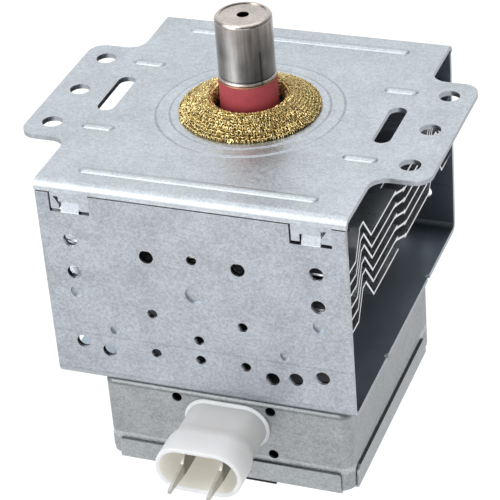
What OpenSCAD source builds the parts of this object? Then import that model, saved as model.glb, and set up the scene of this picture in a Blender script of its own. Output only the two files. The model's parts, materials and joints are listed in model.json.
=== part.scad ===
// Microwave-oven magnetron, an assembly of separate pieces in millimetres.
// The origin lies on the antenna axis at the underside of the foot pad, +Z runs up the antenna
// and -Y points to the side of the connector.

/* [Yoke] */
// Width of yoke and top plate between the two open sides
yoke_w = 83.4; // [60:0.1:110]
// Depth over the front and back walls
yoke_d = 94.6; // [70:0.1:120]
// Height from the underside of the yoke floor to the upper face of the top plate
yoke_h = 60.3; // [50:0.1:75]
// How far the lower yoke's side edges lie inside those of the top plate
yoke_inset = 0.25; // [0:0.05:1]
// Thickness of the yoke's sheet steel
sheet_t = 1.4; // [1:0.1:2]
// Outer radius of the bends between floor and walls
floor_bend_r = 2.9; // [1.6:0.1:4]
// Outer radius of the top plate's bent front and back edges
plate_bend_r = 2.5; // [1.6:0.1:4]
// Straight end of the plate's bent edges
edge_skirt = 0.1; // [0.05:0.05:1]
// Open seam between the plate's bent edge and the top of a wall
seam_gap = 0.3; // [0.1:0.1:1]
// Length of the small notches in the floor's side edges
floor_notch_len = 1.6; // [1:0.1:6]
// Depth of the small notches in the floor's side edges
floor_notch_depth = 0.7; // [0.5:0.1:3]
// Distance of those notches from the middle of the floor
floor_notch_y = 19.6; // [10:0.1:30]

/* [Mounting wings] */
// Width over both wings
wing_span = 112; // [95:0.5:130]
// Depth of a wing
wing_d = 50.8; // [40:0.1:60]
// Radius of a wing's outer corners
wing_corner_r = 4.5; // [1:0.1:8]
// Radius of the hollow corners where a wing meets the plate
wing_fillet_r = 4.5; // [1:0.1:8]
// Distance of the fixing holes from a wing's outer edge
hole_edge = 6.8; // [5:0.1:10]
// Distance between the front and back fixing holes
hole_pitch_y = 36.2; // [20:0.1:44]
// Diameter of a fixing hole
hole_d = 5.6; // [3:0.1:8]
// Distance from the fixing holes to the middle of a slot
slot_step = 10.8; // [8:0.1:13]
// Width of a slot
slot_w = 4.8; // [3:0.1:5]
// Overall length of a slot
slot_len = 18.8; // [10:0.1:24]

/* [Pressed ribs and ring] */
// Height of the pressed ribs
rib_h = 0.6; // [0.2:0.1:1]
// Width of a rib at its foot
rib_w = 2.9; // [2:0.1:5]
// Length of a short rib
short_rib_len = 9.4; // [5:0.1:14]
// Distance of the short ribs' middles from the centre line
short_rib_x = 36.1; // [32:0.1:40]
// Distance of the short ribs from the cross centre line
short_rib_y = 18; // [14:0.1:22]
// Length of a long rib
long_rib_len = 64.4; // [40:0.1:70]
// Distance of the long ribs from the cross centre line
long_rib_y = 39.3; // [34:0.1:41]
// Outer radius of the lower ring step round the gasket
ring_outer_r = 25.5; // [22:0.1:29]
// Radius of the raised seat on the upper ring step
ring_inner_r = 21; // [19.5:0.1:22]
// Height of the raised seat
ring_h = 0.4; // [0.2:0.1:1]
// Width of the slope of a ring step
ring_slope = 0.8; // [0.4:0.1:1.5]

/* [Clinch joints] */
// Distance of a clinch notch from the middle of the wall
clinch_x = 32.3; // [20:0.1:34]
// Width of a clinch notch
clinch_w = 11; // [8:0.1:14]
// Play between a tab and its notch
clinch_play = 0.5; // [0.1:0.1:1]
// Depth of a notch below the plate's upper face
clinch_drop = 8.4; // [6:0.1:12]
// Width of the tongue standing in a notch
tongue_w = 5; // [3:0.1:7]
// Height of the tongue above the notch's floor
tongue_h = 2.9; // [2:0.1:4]
// How far the tongue's tip is pressed inwards
tongue_lean = 1.1; // [0:0.1:1.2]
// Depth of a tab's leg ends below the plate's upper face
leg_drop = 7.4; // [6:0.1:8]
// Clearance round the tongue
tongue_gap = 0.3; // [0.1:0.05:0.5]

/* [Wall holes] */
// Diameter of the large vent holes
vent_d = 3.85; // [2:0.05:6]
// Diameter of the small pilot holes
pilot_d = 2.75; // [1.5:0.05:4]
// Distance of the outer hole columns from the middle
outer_column_x = 33.2; // [28:0.1:36]
// Depths of the two upper holes in an outer column
outer_column_drops = [16.6, 26.4]; // [10:0.1:40]
// Height of the lowest hole in an outer column over the floor's underside
outer_low_rise = 12; // [6:0.1:16]
// Distance of the second low holes from the middle
low_pair_x = 25.9; // [20:0.1:29]
// Height of the second low holes over the floor's underside
low_pair_rise = 10.3; // [6:0.1:16]
// Distance of the single low hole from the middle
single_hole_x = 19.5; // [16:0.1:22]
// Height of the single low hole over the floor's underside
single_hole_rise = 9.3; // [6:0.1:16]
// Distance of the inner hole columns from the middle
inner_column_x = 12.4; // [8:0.1:16]
// Depth of the large hole in an inner column
inner_vent_drop = 18.6; // [12:0.1:30]
// Heights of the pilot holes in an inner column over the floor's underside
inner_pilot_rises = [24.2, 11.8]; // [6:0.1:28]
// Depth of the upper pilot hole on the centre line
centre_pilot_drop = 17.7; // [12:0.1:24]
// Heights of the low pilot holes on the centre line over the floor's underside
centre_pilot_rises = [18, 11.8]; // [6:0.1:22]
// Depth of the pressed round marks into the sheet
mark_depth = 0.7; // [0.2:0.1:0.8]
// Diameter and depth of the pressed mark on the centre line
centre_mark = [5.3, 28.3]; // [2:0.1:40]
// Diameter and depth of the pressed marks in the outer columns
outer_mark = [3.6, 32.5]; // [2:0.1:40]
// Diameter, distance from the middle and height over the floor's underside of the small pressed marks
small_mark = [2.9, 23.5, 17.1]; // [2:0.1:30]

/* [Output] */
// Diameter of the antenna cap
cap_d = 15.1; // [12:0.1:18]
// Height of the cap's lower edge over the plate
cap_base_h = 10.4; // [8:0.1:14]
// Length of the cap
cap_len = 17.6; // [12:0.1:24]
// Wall thickness of the cap
cap_wall = 0.6; // [0.4:0.05:1]
// Outer radius of the cap's top edge
cap_edge_r = 1.1; // [0.8:0.1:2]
// Depth of the shallow dish in the cap's top
cap_dish = 0.25; // [0.1:0.05:0.4]
// Diameter of the hole in the cap's top
cap_hole_d = 3.2; // [1:0.1:5]
// How far the lip at the cap's lower edge stands out
cap_lip = 0.3; // [0.1:0.05:0.4]
// Height of that rounded lip
cap_lip_h = 0.9; // [0.5:0.1:1.5]
// Diameter of the output ceramic
ceramic_d = 15.6; // [13:0.1:18]
// Wall thickness of the output ceramic
ceramic_wall = 1.7; // [1:0.1:2.5]
// Thickness of the exhaust tube's flange between ceramic and cap
tube_flange_t = 0.4; // [0.2:0.1:1]
// Outer diameter of the exhaust tube
tube_d = 9; // [7:0.1:10]
// Wall thickness of the exhaust tube
tube_wall = 0.8; // [0.5:0.1:1.5]
// Height of the exhaust tube's pinched tip over the plate
tube_top_h = 25.5; // [20:0.1:27]
// Diameter of the antenna rod
rod_d = 1.8; // [1:0.1:2.4]
// Height of the rod's lower bend over the upper pole piece
rod_bend_rise = 7; // [4:0.1:9]
// Height of the rod's upper bend over the plate
rod_join_rise = 4; // [2:0.1:6]
// Outer diameter of the knitted gasket
gasket_d = 38.4; // [34:0.1:41]
// Bore of the knitted gasket
gasket_bore_d = 19.6; // [18:0.1:21]
// Height of the gasket at its inner bead
gasket_h = 4.4; // [3:0.1:5]
// Radius of the gasket's inner bead
gasket_bead_r = 1.3; // [1:0.1:1.8]
// Radius of the gasket's outer edge
gasket_edge_r = 0.4; // [0.2:0.1:0.9]

/* [Magnets and tube] */
// Outer diameter of a ring magnet
magnet_d = 53; // [44:0.5:54]
// Bore of a ring magnet
magnet_bore_d = 21; // [20.6:0.1:24]
// Outer diameter of the anode and the pole pieces
anode_d = 42; // [36:0.1:46]
// Bore of the anode
anode_bore_d = 35; // [30:0.1:38]
// Height of the anode
anode_h = 27; // [24:0.1:30]
// Thickness of a pole piece's flange
pole_t = 1.4; // [1:0.1:2]
// Depth of a pole piece's funnel
pole_depth = 3.2; // [2:0.1:5]
// Diameter of the opening at a pole piece's tip
pole_tip_d = 9.6; // [8:0.1:12]
// Number of anode vanes
vane_count = 10; // [8:2:12]
// Thickness of a vane
vane_t = 1.9; // [1:0.1:2.5]
// Height of a vane
vane_h = 9.5; // [8:0.1:12]
// Diameter of the space between the vane tips
vane_tip_d = 9.2; // [8:0.1:11]
// Height of a strap ring
strap_h = 1.2; // [0.6:0.1:2]
// Diameter of the output and stem seals
seal_d = 20.4; // [18:0.1:20.5]
// Wall thickness of the seals
seal_wall = 0.8; // [0.5:0.1:1.2]
// Clearance of the seals in plate, floor and box
seal_gap = 0.1; // [0.05:0.05:0.5]
// Diameter of the cathode coil between wire centres
cathode_d = 3.8; // [3:0.1:5]
// Wire diameter of the cathode coil
cathode_wire_d = 0.7; // [0.4:0.1:1]
// Turns of the cathode coil
cathode_turns = 5; // [3:1:8]
// Diameter of the end shields
shield_d = 6.4; // [5:0.1:8]
// Thickness of the end shields
shield_t = 1.6; // [1:0.1:2.5]
// Diameter of the cathode leads
lead_d = 1.5; // [1:0.1:2]
// Distance of the side lead from the axis under the end shield
side_lead_x = 2.4; // [2:0.1:3]
// Distance of both leads from the axis in the stem
stem_lead_x = 4; // [3:0.1:5]
// Depth of the leads' upper bend below the lower pole piece
lead_bend_drop = 6; // [5:0.1:8]
// Height of the bent stretch of the leads
lead_bend_len = 4; // [3:0.1:6]
// Length of the stem seal below the yoke floor
stem_reach = 6.6; // [4:0.1:9]
// Height of the stem ceramic
stem_ceramic_h = 9; // [6:0.1:10]
// Diameter of the stem ceramic
stem_ceramic_d = 15; // [12:0.1:18]
// Thickness of the stem terminal strips
strip_t = 0.6; // [0.4:0.1:1]
// Width of the stem terminal strips
strip_w = 3; // [2:0.1:4]

/* [Cooling fins] */
// Width of a fin between the open sides
fin_w = 81; // [70:0.1:83]
// Thickness of a fin
fin_t = 0.6; // [0.4:0.05:0.8]
// Height of the first fin over the middle of the anode
fin_1_rise = 12.65; // [12.05:0.05:13.25]
// Height of the second fin over the middle of the anode
fin_2_rise = 9.05; // [8.45:0.05:9.65]
// Height of the third fin over the middle of the anode
fin_3_rise = 5.75; // [5.15:0.05:6.35]
// Height of the fourth fin over the middle of the anode
fin_4_rise = 2.05; // [1.45:0.05:2.65]
// Height of the fifth fin over the middle of the anode
fin_5_rise = -1.45; // [-2.05:0.05:-0.85]
// Height of the sixth fin over the middle of the anode
fin_6_rise = -5.35; // [-5.95:0.05:-4.75]
// Height of the fold at a fin's front and back end
fold_h = 7.4; // [4:0.1:8]
// Distance of the fold's inner foot from the axis
fold_foot_y = 25.4; // [24:0.1:28]
// Distance of the fold's crest from the axis
fold_crest_y = 31.1; // [29:0.1:34]
// Width of the fold's rounded crest
fold_crest_w = 2.6; // [1:0.1:4]
// Distance of the fold's outer foot from the axis
fold_end_y = 38.2; // [35:0.1:41]
// Height of a fin's collar round the anode
collar_h = 2.2; // [1:0.1:2.6]
// Length along the edge of the cut that frees a spacer tab
spacer_len = 5.9; // [3:0.1:8]
// Width of a spacer tab
spacer_w = 4.3; // [2:0.1:6]
// Distance behind the axis where a spacer tab lands
spacer_land_y = 2.3; // [0:0.1:5]
// Length of a spacer tab's foot
spacer_foot = 1.2; // [0.5:0.1:3]

/* [Filter box] */
// Thickness of the pad under the cover
pad_t = 0.65; // [0.3:0.05:2]
// Width of the pad
pad_w = 25; // [10:0.5:50]
// Length of the pad
pad_d = 64; // [30:0.5:66]
// Distance of the pad's front edge behind the cover's front face
pad_setback = 0.4; // [0.2:0.1:4]
// Height from the underside of the cover to the yoke floor
box_h = 25.5; // [20:0.1:32]
// Outer width of the box
box_w = 68.8; // [60:0.1:80]
// Outer depth of the box
box_d = 72.2; // [60:0.1:80]
// Shift of the box to the right of the antenna axis
box_x = 4.8; // [-6:0.1:6]
// Distance of the cover's front face behind the yoke's front face
cover_setback = 0.35; // [0:0.05:4]
// Thickness of the box's sheet
box_t = 0.7; // [0.5:0.1:1.2]
// Radius of the box's upright corners
box_corner_r = 3; // [2:0.1:6]
// Radius of the box's drawn upper edge
box_edge_r = 1.2; // [0.5:0.1:2]
// Height of the relief under the box's corners
corner_relief = 0.5; // [0.2:0.1:1]
// Thickness of the cover's sheet
cover_t = 0.6; // [0.5:0.1:1.2]
// Height of the cover's folded edges
cover_edge_h = 6.4; // [3:0.1:9]
// Gap between the cover's folded edges and the box
cover_gap = 0.15; // [0.1:0.05:1]
// How much earlier the side edges stop before the back corners
side_cut = 3.5; // [0:0.1:8]
// How much later the side edges start behind the front corners
side_front_cut = 0.3; // [0:0.1:3]
// Radius of the cover's base at its corners
cover_corner_r = 6; // [3:0.1:8]
// Shoulder of the cover's front and back edges at their ends
cover_end_r = 0.8; // [0.5:0.1:2]
// Shoulder of the cover's side edges at their ends
side_end_r = 2.5; // [1:0.1:5]
// Diameter of the rivets between box and yoke
rivet_d = 2.6; // [2:0.1:4]
// Diameter of the rivet heads
rivet_head_d = 4.6; // [3:0.1:6]
// Height of the rivet heads
rivet_head_h = 0.9; // [0.5:0.1:2]
// Distance of the front rivets from the box's left edge and front
front_rivet = [5.4, 16.2]; // [4:0.1:24]
// Distance of the back rivets from the box's left edge and back
back_rivet = [4.6, 3.7]; // [3.5:0.1:24]

/* [Connector] */
// Depth of the connector's middle below the yoke floor
connector_drop = 8.3; // [8:0.1:16]
// Distance of the connector's middle to the right of the antenna axis
connector_x = 5.3; // [0:0.1:10]
// Distance between the middles of the connector's two round ends
connector_span = 10.2; // [8:0.1:12]
// Height of the connector's flange
flange_h = 13.7; // [12:0.1:16]
// Thickness of the connector's flange
flange_t = 0.8; // [0.8:0.1:2]
// Height of the neck behind the shroud
neck_h = 11.7; // [10:0.1:13]
// Reach of the straight neck in front of the box
neck_len = 10.1; // [6:0.1:14]
// Length of the sloped shoulder between neck and shroud
shoulder_len = 3.9; // [1:0.1:6]
// Height of the shroud
shroud_h = 13.6; // [12:0.1:16]
// Length of the straight shroud
shroud_len = 8; // [6:0.1:16]
// Wall thickness of the shroud
shroud_wall = 1.3; // [0.8:0.1:2]
// Depth of the open socket
socket_depth = 13; // [8:0.1:18]
// Height of the plug through the box wall
plug_h = 9.4; // [8:0.1:10.5]
// Distance between the corner holes round the connector, across
corner_pitch_x = 26.2; // [25.5:0.1:30]
// Distance between the corner holes round the connector, up
corner_pitch_z = 13.9; // [12:0.1:16]
// Shift of the corner holes' middle from the connector's middle, to the left
corner_shift_x = 0.8; // [0:0.1:2]
// Shift of the corner holes' middle from the connector's middle, down
corner_shift_z = 1.1; // [0:0.1:2]
// Diameter of the corner holes
corner_hole_d = 2.8; // [2:0.1:4]
// Distance between the two terminals
terminal_pitch = 10.6; // [8:0.1:14]
// Thickness of a terminal
terminal_t = 0.8; // [0.5:0.1:1]
// Height of a terminal where it leaves the socket floor
terminal_h = 6.3; // [4:0.1:8]
// Height of a terminal at its tip
terminal_tip_h = 1; // [0.6:0.1:3]
// Depth of the terminals' middle below the connector's middle
terminal_drop = 0.5; // [0:0.1:1]
// Reach of a terminal in front of the shroud
terminal_reach = 7; // [2:0.1:10]
// Length of the full-height root of a terminal
terminal_root = 9; // [1:0.1:11]
// Height of the capacitor body
capacitor_h = 11; // [9:0.1:13]
// Length of the capacitor body
capacitor_len = 7.8; // [4:0.1:12]
// Length of a terminal's tail behind the capacitor
tail_len = 3; // [2:0.1:6]

/* [Chokes] */
// Diameter of a choke coil between wire centres
choke_d = 6.8; // [5:0.1:8]
// Wire diameter of a choke coil
choke_wire_d = 1.4; // [0.8:0.1:1.6]
// Turns of a choke coil
choke_turns = 6; // [4:1:9]
// Length of a choke coil
choke_len = 15.4; // [10:0.1:18]
// Diameter of a choke core
core_d = 4.8; // [3:0.1:5]
// Length of a choke core
core_len = 15; // [10:0.1:18]

/* [Hidden] */
$fn = 96;
eps = 0.01;
floor_z = pad_t + box_h;
plate_z = floor_z + yoke_h;
plate_under_z = plate_z - sheet_t;
floor_top_z = floor_z + sheet_t;
wall_y = yoke_d / 2;
wall_in_y = wall_y - sheet_t;
side_x = yoke_w / 2;
lower_x = side_x - yoke_inset;
plate_edge_z = plate_z - plate_bend_r;
wall_top_z = plate_edge_z - edge_skirt - seam_gap;
hole_x = wing_span / 2 - hole_edge;
slot_x = hole_x - slot_step;
rib_r = (rib_w * rib_w / 4 + rib_h * rib_h) / (2 * rib_h);
notch_z = plate_z - clinch_drop;
tongue_top_z = notch_z + tongue_h;
leg_z = plate_z - leg_drop;
seal_r = seal_d / 2;
pass_r = seal_r + seal_gap;
magnet_h = (plate_under_z - floor_top_z - anode_h - 2 * pole_t) / 2;
upper_magnet_z = plate_under_z - magnet_h;
anode_top_z = upper_magnet_z - pole_t;
anode_z = anode_top_z - anode_h;
lower_pole_z = anode_z - pole_t;
anode_mid_z = anode_z + anode_h / 2;
vane_top_z = anode_mid_z + vane_h / 2;
vane_z = anode_mid_z - vane_h / 2;
strap_w = 0.6;
strap_inner_r = 5.4;
strap_outer_r = 6.3;
funnel_r = seal_r - seal_wall - 0.6;
pole_tip_r = pole_tip_d / 2;
rod_r = rod_d / 2;
bend_bead = 0.06;
rod_x = 8;
rod_bend_z = upper_magnet_z + rod_bend_rise;
rod_join_z = plate_z + rod_join_rise;
rod_top_z = plate_z + tube_top_h - 3.5;
ceramic_top_z = plate_z + cap_base_h - tube_flange_t;
output_rim_z = plate_z - 1;
output_rim_t = 0.6;
tube_r = tube_d / 2;
tube_shoulder_z = plate_z + tube_top_h - 5.5;
cap_r = cap_d / 2;
gasket_z = plate_z + ring_h;
bead_c = [gasket_bore_d / 2 + gasket_bead_r, gasket_h - gasket_bead_r];
edge_c = [gasket_d / 2 - gasket_edge_r, gasket_edge_r];
bead_run = edge_c - bead_c;
bead_turn = atan2(bead_run[1], bead_run[0]) + acos((gasket_bead_r - gasket_edge_r) / norm(bead_run));
bead_dir = [cos(bead_turn), sin(bead_turn)];
lead_r = lead_d / 2;
stem_z = floor_z - stem_reach;
stem_ceramic_z = stem_z - stem_ceramic_h;
lead_end_z = stem_ceramic_z - strip_t - 0.8;
lead_bend_z = lower_pole_z - lead_bend_drop;
lead_join_z = lead_bend_z - lead_bend_len;
fin_rises = [fin_1_rise, fin_2_rise, fin_3_rise, fin_4_rise, fin_5_rise, fin_6_rise];
cover_front_y = cover_setback - wall_y;
box_front_y = cover_front_y + cover_t + cover_gap;
box_back_y = box_front_y + box_d;
box_left = box_w / 2 - box_x;
box_roof_z = floor_z - box_t;
wall_foot_z = pad_t + cover_t;
cover_bend_r = cover_t + cover_gap;
connector_z = floor_z - connector_drop;
terminal_z = connector_z - terminal_drop;
rim_y = box_front_y - neck_len - shoulder_len - shroud_len;
socket_y = rim_y + socket_depth;
box_inner_y = box_front_y + box_t;
capacitor_y = box_inner_y + capacitor_len;
tail_y = capacitor_y + tail_len;
choke_r = choke_d / 2;
choke_wire_r = choke_wire_d / 2;
choke_flat_r = choke_wire_r * cos(30);
tail_h = choke_d - 2 * choke_flat_r;
choke_y = tail_y + 0.6;
choke_end_y = choke_y + choke_len;
choke_foot_y = choke_end_y + 1.6;
strip_z = stem_ceramic_z - strip_t;

function unit(v) = v / norm(v);
function turned(v) = [-v[1], v[0]];
function run(p, i) = unit(p[min(i + 1, len(p) - 1)] - p[min(i, len(p) - 2)]);
function mitre(p, i) =
  let (a = turned(run(p, max(i - 1, 0))), b = turned(run(p, i)), m = unit(a + b)) m / (m * a);
function ribbon(p, t) = concat(
  [for (i = [0 : len(p) - 1]) p[i] + mitre(p, i) * t / 2],
  [for (i = [len(p) - 1 : -1 : 0]) p[i] - mitre(p, i) * t / 2]
);

// The cut across the axis of a coil of round wire: coil radius r, wire radius w, n corners.
function coil_cut(r, w, pitch, n) = [
  for (i = [0 : n - 1])
    let (a = 360 * i / n, q = r + w * cos(a), t = 360 * w * sin(a) / pitch) [q * cos(t), q * sin(t)]
];

// A flat shape drawn in the Y-Z plane and drawn out along X, centred on x.
module along_x(length, x = 0) {
  translate([x - length / 2, 0, 0]) rotate([90, 0, 90]) linear_extrude(length) children();
}

// A flat shape drawn in the X-Z plane and drawn out along +Y from y.
module along_y(length, y) {
  translate([0, y + length, 0]) rotate([90, 0, 0]) linear_extrude(length) children();
}

// A flat half outline, its foot on x = 0, swept round a stadium so that its y runs along -Y.
module stadium(span) {
  rotate([90, 0, 0]) {
    for (m = [0, 1]) mirror([m, 0, 0]) {
      translate([span / 2, 0, 0]) rotate([0, 0, -90]) rotate_extrude(angle = 180) children();
    }
    translate([-span / 2, 0, 0]) rotate([90, 0, 90]) linear_extrude(span) {
      children();
      mirror([1, 0]) children();
    }
  }
}

module obround(w, h) {
  square([w - h, h], center = true);
  for (s = [-1, 1]) translate([s * (w - h) / 2, 0]) circle(d = h);
}

module rounded_rect(w, d, r) {
  square([w - 2 * r, d], center = true);
  square([w, d - 2 * r], center = true);
  for (sx = [-1, 1], sy = [-1, 1]) translate([sx * (w / 2 - r), sy * (d / 2 - r)]) circle(r);
}

// A straight round bar between two points.
module bar(a, b, r) {
  v = b - a;
  translate(a) rotate([0, acos(v[2] / norm(v)), atan2(v[1], v[0])]) cylinder(h = norm(v), r = r);
}

// A quarter of a bent sheet in the first quadrant, with straight ends that run down and back from it.
module bend(r, t, down, back) {
  translate([r - t, -down]) square([t, down]);
  translate([-back, r - t]) square([back, t]);
  intersection() {
    difference() {
      circle(r);
      circle(r - t);
    }
    square(r);
  }
}

module wing_outline() {
  square([yoke_w, yoke_d - 2 * plate_bend_r], center = true);
  rounded_rect(wing_span, wing_d, wing_corner_r);
  for (mx = [0, 1], my = [0, 1]) mirror([mx, 0]) mirror([0, my]) difference() {
    translate([side_x - eps, wing_d / 2 - eps]) square(wing_fillet_r + eps);
    translate([side_x + wing_fillet_r, wing_d / 2 + wing_fillet_r]) circle(wing_fillet_r);
  }
}

// A pressed rib along X with round ends.
module rib(length, x, y) {
  translate([x, y, plate_z + rib_h - rib_r]) intersection() {
    union() {
      rotate([0, 90, 0]) cylinder(h = length - rib_w, r = rib_r, center = true);
      for (s = [-1, 1]) translate([s * (length - rib_w) / 2, 0, 0]) sphere(rib_r);
    }
    translate([-length, -rib_w, rib_r - rib_h - sheet_t / 2]) cube([2 * length, 2 * rib_w, sheet_t]);
  }
}

// One tab of the top plate, forked over the tongue of the wall, on the wall at +Y.
module clinch_tab(x, side) {
  tab_w = clinch_w - clinch_play;
  slit_x = side * (tongue_w / 2 + tongue_gap);
  along_y(sheet_t, wall_in_y) translate([x, 0]) difference() {
    translate([clinch_play - clinch_w / 2, leg_z]) square([tab_w, plate_edge_z - leg_z]);
    translate([-tongue_w / 2 - tongue_gap, leg_z - eps])
      square([tongue_w + 2 * tongue_gap, tongue_top_z + tongue_gap - leg_z + eps]);
    polygon([
      [slit_x - side * 0.1, tongue_top_z - 0.6], [slit_x, tongue_top_z + 1.6],
      [slit_x + side * 1.5, tongue_top_z + 1.8]
    ]);
  }
}

// One of the two low steps round the antenna, k = 0 for the lower one.
module ring_step(k, r) {
  translate([0, 0, plate_z + k * ring_h / 2 - eps])
    cylinder(h = ring_h / 2 + eps, r1 = r, r2 = r - ring_slope);
}

module top_plate() {
  color([0.79, 0.82, 0.85]) difference() {
    union() {
      translate([0, 0, plate_under_z]) linear_extrude(sheet_t) wing_outline();
      for (m = [0, 1]) mirror([0, m, 0]) {
        along_x(yoke_w) translate([wall_y - plate_bend_r, plate_edge_z])
          bend(plate_bend_r, sheet_t, edge_skirt, plate_bend_r);
      }
      for (m = [0, 1], side = [-1, 1]) mirror([0, m, 0]) clinch_tab(side * clinch_x, side);
      ring_step(0, ring_outer_r);
      ring_step(1, ring_inner_r + ring_slope);
      for (sx = [-1, 1], sy = [-1, 1]) rib(short_rib_len, sx * short_rib_x, sy * short_rib_y);
      for (sy = [-1, 1]) rib(long_rib_len, 0, sy * long_rib_y);
    }
    translate([0, 0, plate_under_z - 1]) cylinder(h = sheet_t + ring_h + 2, r = pass_r);
    for (sx = [-1, 1]) {
      for (k = [-1, 0, 1]) {
        translate([sx * hole_x, k * hole_pitch_y / 2, plate_under_z - 1])
          cylinder(h = sheet_t + 2, d = hole_d);
      }
      translate([sx * slot_x, 0, plate_under_z - 1]) rotate([0, 0, 90])
        linear_extrude(sheet_t + 2) obround(slot_len, slot_w);
    }
  }
}

// The holes and pressed marks of a wall, drawn for the wall at -Y.
module wall_cuts() {
  module drill(d, x, drop) {
    translate([x, -wall_y - 1, plate_z - drop]) rotate([-90, 0, 0]) cylinder(h = sheet_t + 2, d = d);
  }
  module mark(d, x, drop) {
    translate([x, -wall_y - 1, plate_z - drop]) rotate([-90, 0, 0]) cylinder(h = mark_depth + 1, d = d);
  }
  for (s = [-1, 1]) {
    for (drop = outer_column_drops) drill(vent_d, s * outer_column_x, drop);
    drill(vent_d, s * outer_column_x, yoke_h - outer_low_rise);
    drill(vent_d, s * low_pair_x, yoke_h - low_pair_rise);
    drill(vent_d, s * inner_column_x, inner_vent_drop);
    for (rise = inner_pilot_rises) drill(pilot_d, s * inner_column_x, yoke_h - rise);
    mark(outer_mark[0], s * outer_column_x, outer_mark[1]);
    mark(small_mark[0], s * small_mark[1], yoke_h - small_mark[2]);
  }
  drill(vent_d, single_hole_x, yoke_h - single_hole_rise);
  drill(pilot_d, 0, centre_pilot_drop);
  for (rise = centre_pilot_rises) drill(pilot_d, 0, yoke_h - rise);
  mark(centre_mark[0], 0, centre_mark[1]);
}

module lower_yoke() {
  foot_z = floor_z + floor_bend_r;
  color([0.73, 0.75, 0.79]) difference() {
    union() {
      translate([-lower_x, floor_bend_r - wall_y, floor_z])
        cube([2 * lower_x, yoke_d - 2 * floor_bend_r, sheet_t]);
      for (s = [0, 180]) rotate([0, 0, s]) {
        along_x(2 * lower_x) translate([wall_y - floor_bend_r, foot_z]) mirror([0, 1])
          bend(floor_bend_r, sheet_t, floor_bend_r, floor_bend_r);
        difference() {
          translate([-lower_x, wall_in_y, foot_z]) cube([2 * lower_x, sheet_t, wall_top_z - foot_z]);
          for (side = [-1, 1]) {
            translate([side * clinch_x - clinch_w / 2, wall_in_y - 1, notch_z])
              cube([clinch_w, sheet_t + 2, clinch_drop]);
          }
        }
      }
      for (m = [0, 1], side = [-1, 1]) mirror([0, m, 0]) {
        along_x(tongue_w, side * clinch_x) polygon([
          [wall_in_y, notch_z], [wall_in_y, notch_z - sheet_t],
          [wall_y, notch_z - sheet_t], [wall_y, notch_z],
          [wall_y - tongue_lean, tongue_top_z], [wall_in_y - tongue_lean, tongue_top_z]
        ]);
      }
    }
    for (m = [0, 1]) mirror([0, m, 0]) wall_cuts();
    translate([0, 0, floor_z - 1]) cylinder(h = sheet_t + 2, r = pass_r);
    for (sx = [-1, 1], sy = [-1, 1]) {
      translate([sx * lower_x - floor_notch_depth, sy * floor_notch_y - floor_notch_len / 2, floor_z - 1])
        cube([2 * floor_notch_depth, floor_notch_len, sheet_t + 2]);
    }
    rivet_holes(sheet_t + 2, floor_z - 1);
  }
}

module rivet_places() {
  for (s = [-1, 1]) {
    translate([s * (box_left - front_rivet[0]), box_front_y + front_rivet[1], 0]) children();
    translate([s * (box_left - back_rivet[0]), box_back_y - back_rivet[1], 0]) children();
  }
}

module rivet_holes(h, z) {
  rivet_places() translate([0, 0, z]) cylinder(h = h, d = rivet_d);
}

module rf_gasket() {
  color([0.78, 0.66, 0.35]) translate([0, 0, gasket_z]) rotate_extrude() {
    polygon([
      [gasket_bore_d / 2, 0], [edge_c[0], 0], edge_c, edge_c + gasket_edge_r * bead_dir,
      bead_c + gasket_bead_r * bead_dir, bead_c, [gasket_bore_d / 2, bead_c[1]]
    ]);
    translate(edge_c) circle(gasket_edge_r);
    translate(bead_c) circle(gasket_bead_r);
  }
}

// Half of the cap's outline: a round-edged bar of radius r and height h.
module cap_half(r, h, edge) {
  square([r, h - edge]);
  square([r - edge, h]);
  translate([r - edge, h - edge]) circle(edge);
}

module antenna_cap() {
  color([0.62, 0.6, 0.58]) translate([0, 0, plate_z + cap_base_h]) rotate_extrude() {
    difference() {
      union() {
        cap_half(cap_r, cap_len, cap_edge_r);
        square([cap_r + cap_lip - cap_lip_h / 2, cap_lip_h]);
        translate([cap_r + cap_lip - cap_lip_h / 2, cap_lip_h / 2]) circle(cap_lip_h / 2);
      }
      translate([0, -eps])
        cap_half(cap_r - cap_wall, cap_len - cap_wall - cap_dish + eps, cap_edge_r - cap_wall / 2);
      translate([0, cap_len - cap_dish]) square([cap_r - cap_edge_r - 0.2, cap_dish + eps]);
      square([cap_hole_d / 2, cap_len + 1]);
    }
  }
}

module exhaust_tube() {
  color([0.75, 0.48, 0.33]) translate([0, 0, ceramic_top_z]) rotate_extrude() {
    shoulder = tube_shoulder_z - ceramic_top_z;
    tip = plate_z + tube_top_h - ceramic_top_z;
    hole = rod_top_z - ceramic_top_z;
    difference() {
      polygon([
        [0, 0], [cap_r + cap_lip / 2, 0], [cap_r + cap_lip / 2, tube_flange_t], [tube_r, tube_flange_t],
        [tube_r, shoulder], [rod_r + 0.6, hole - 1], [rod_r + 0.6, tip], [0, tip]
      ]);
      polygon([
        [0, -eps], [tube_r - tube_wall, -eps], [tube_r - tube_wall, shoulder - 0.4],
        [rod_r, hole - 1.2], [rod_r, hole], [0, hole]
      ]);
    }
  }
}

module antenna_rod() {
  a = [rod_x, 0, vane_top_z];
  b = [rod_x, 0, rod_bend_z];
  c = [0, 0, rod_join_z];
  d = [0, 0, rod_top_z];
  color([0.8, 0.52, 0.36]) {
    bar(a, b, rod_r);
    bar(b, c, rod_r);
    bar(c, d, rod_r);
    translate(b) sphere(rod_r + bend_bead);
    translate(c) sphere(rod_r + bend_bead);
  }
}

module output_ceramic() {
  foot = output_rim_z + output_rim_t;
  color([0.72, 0.33, 0.36]) translate([0, 0, foot]) difference() {
    cylinder(h = ceramic_top_z - foot, d = ceramic_d);
    translate([0, 0, -1]) cylinder(h = ceramic_top_z - foot + 2, d = ceramic_d - 2 * ceramic_wall);
  }
}

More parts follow.
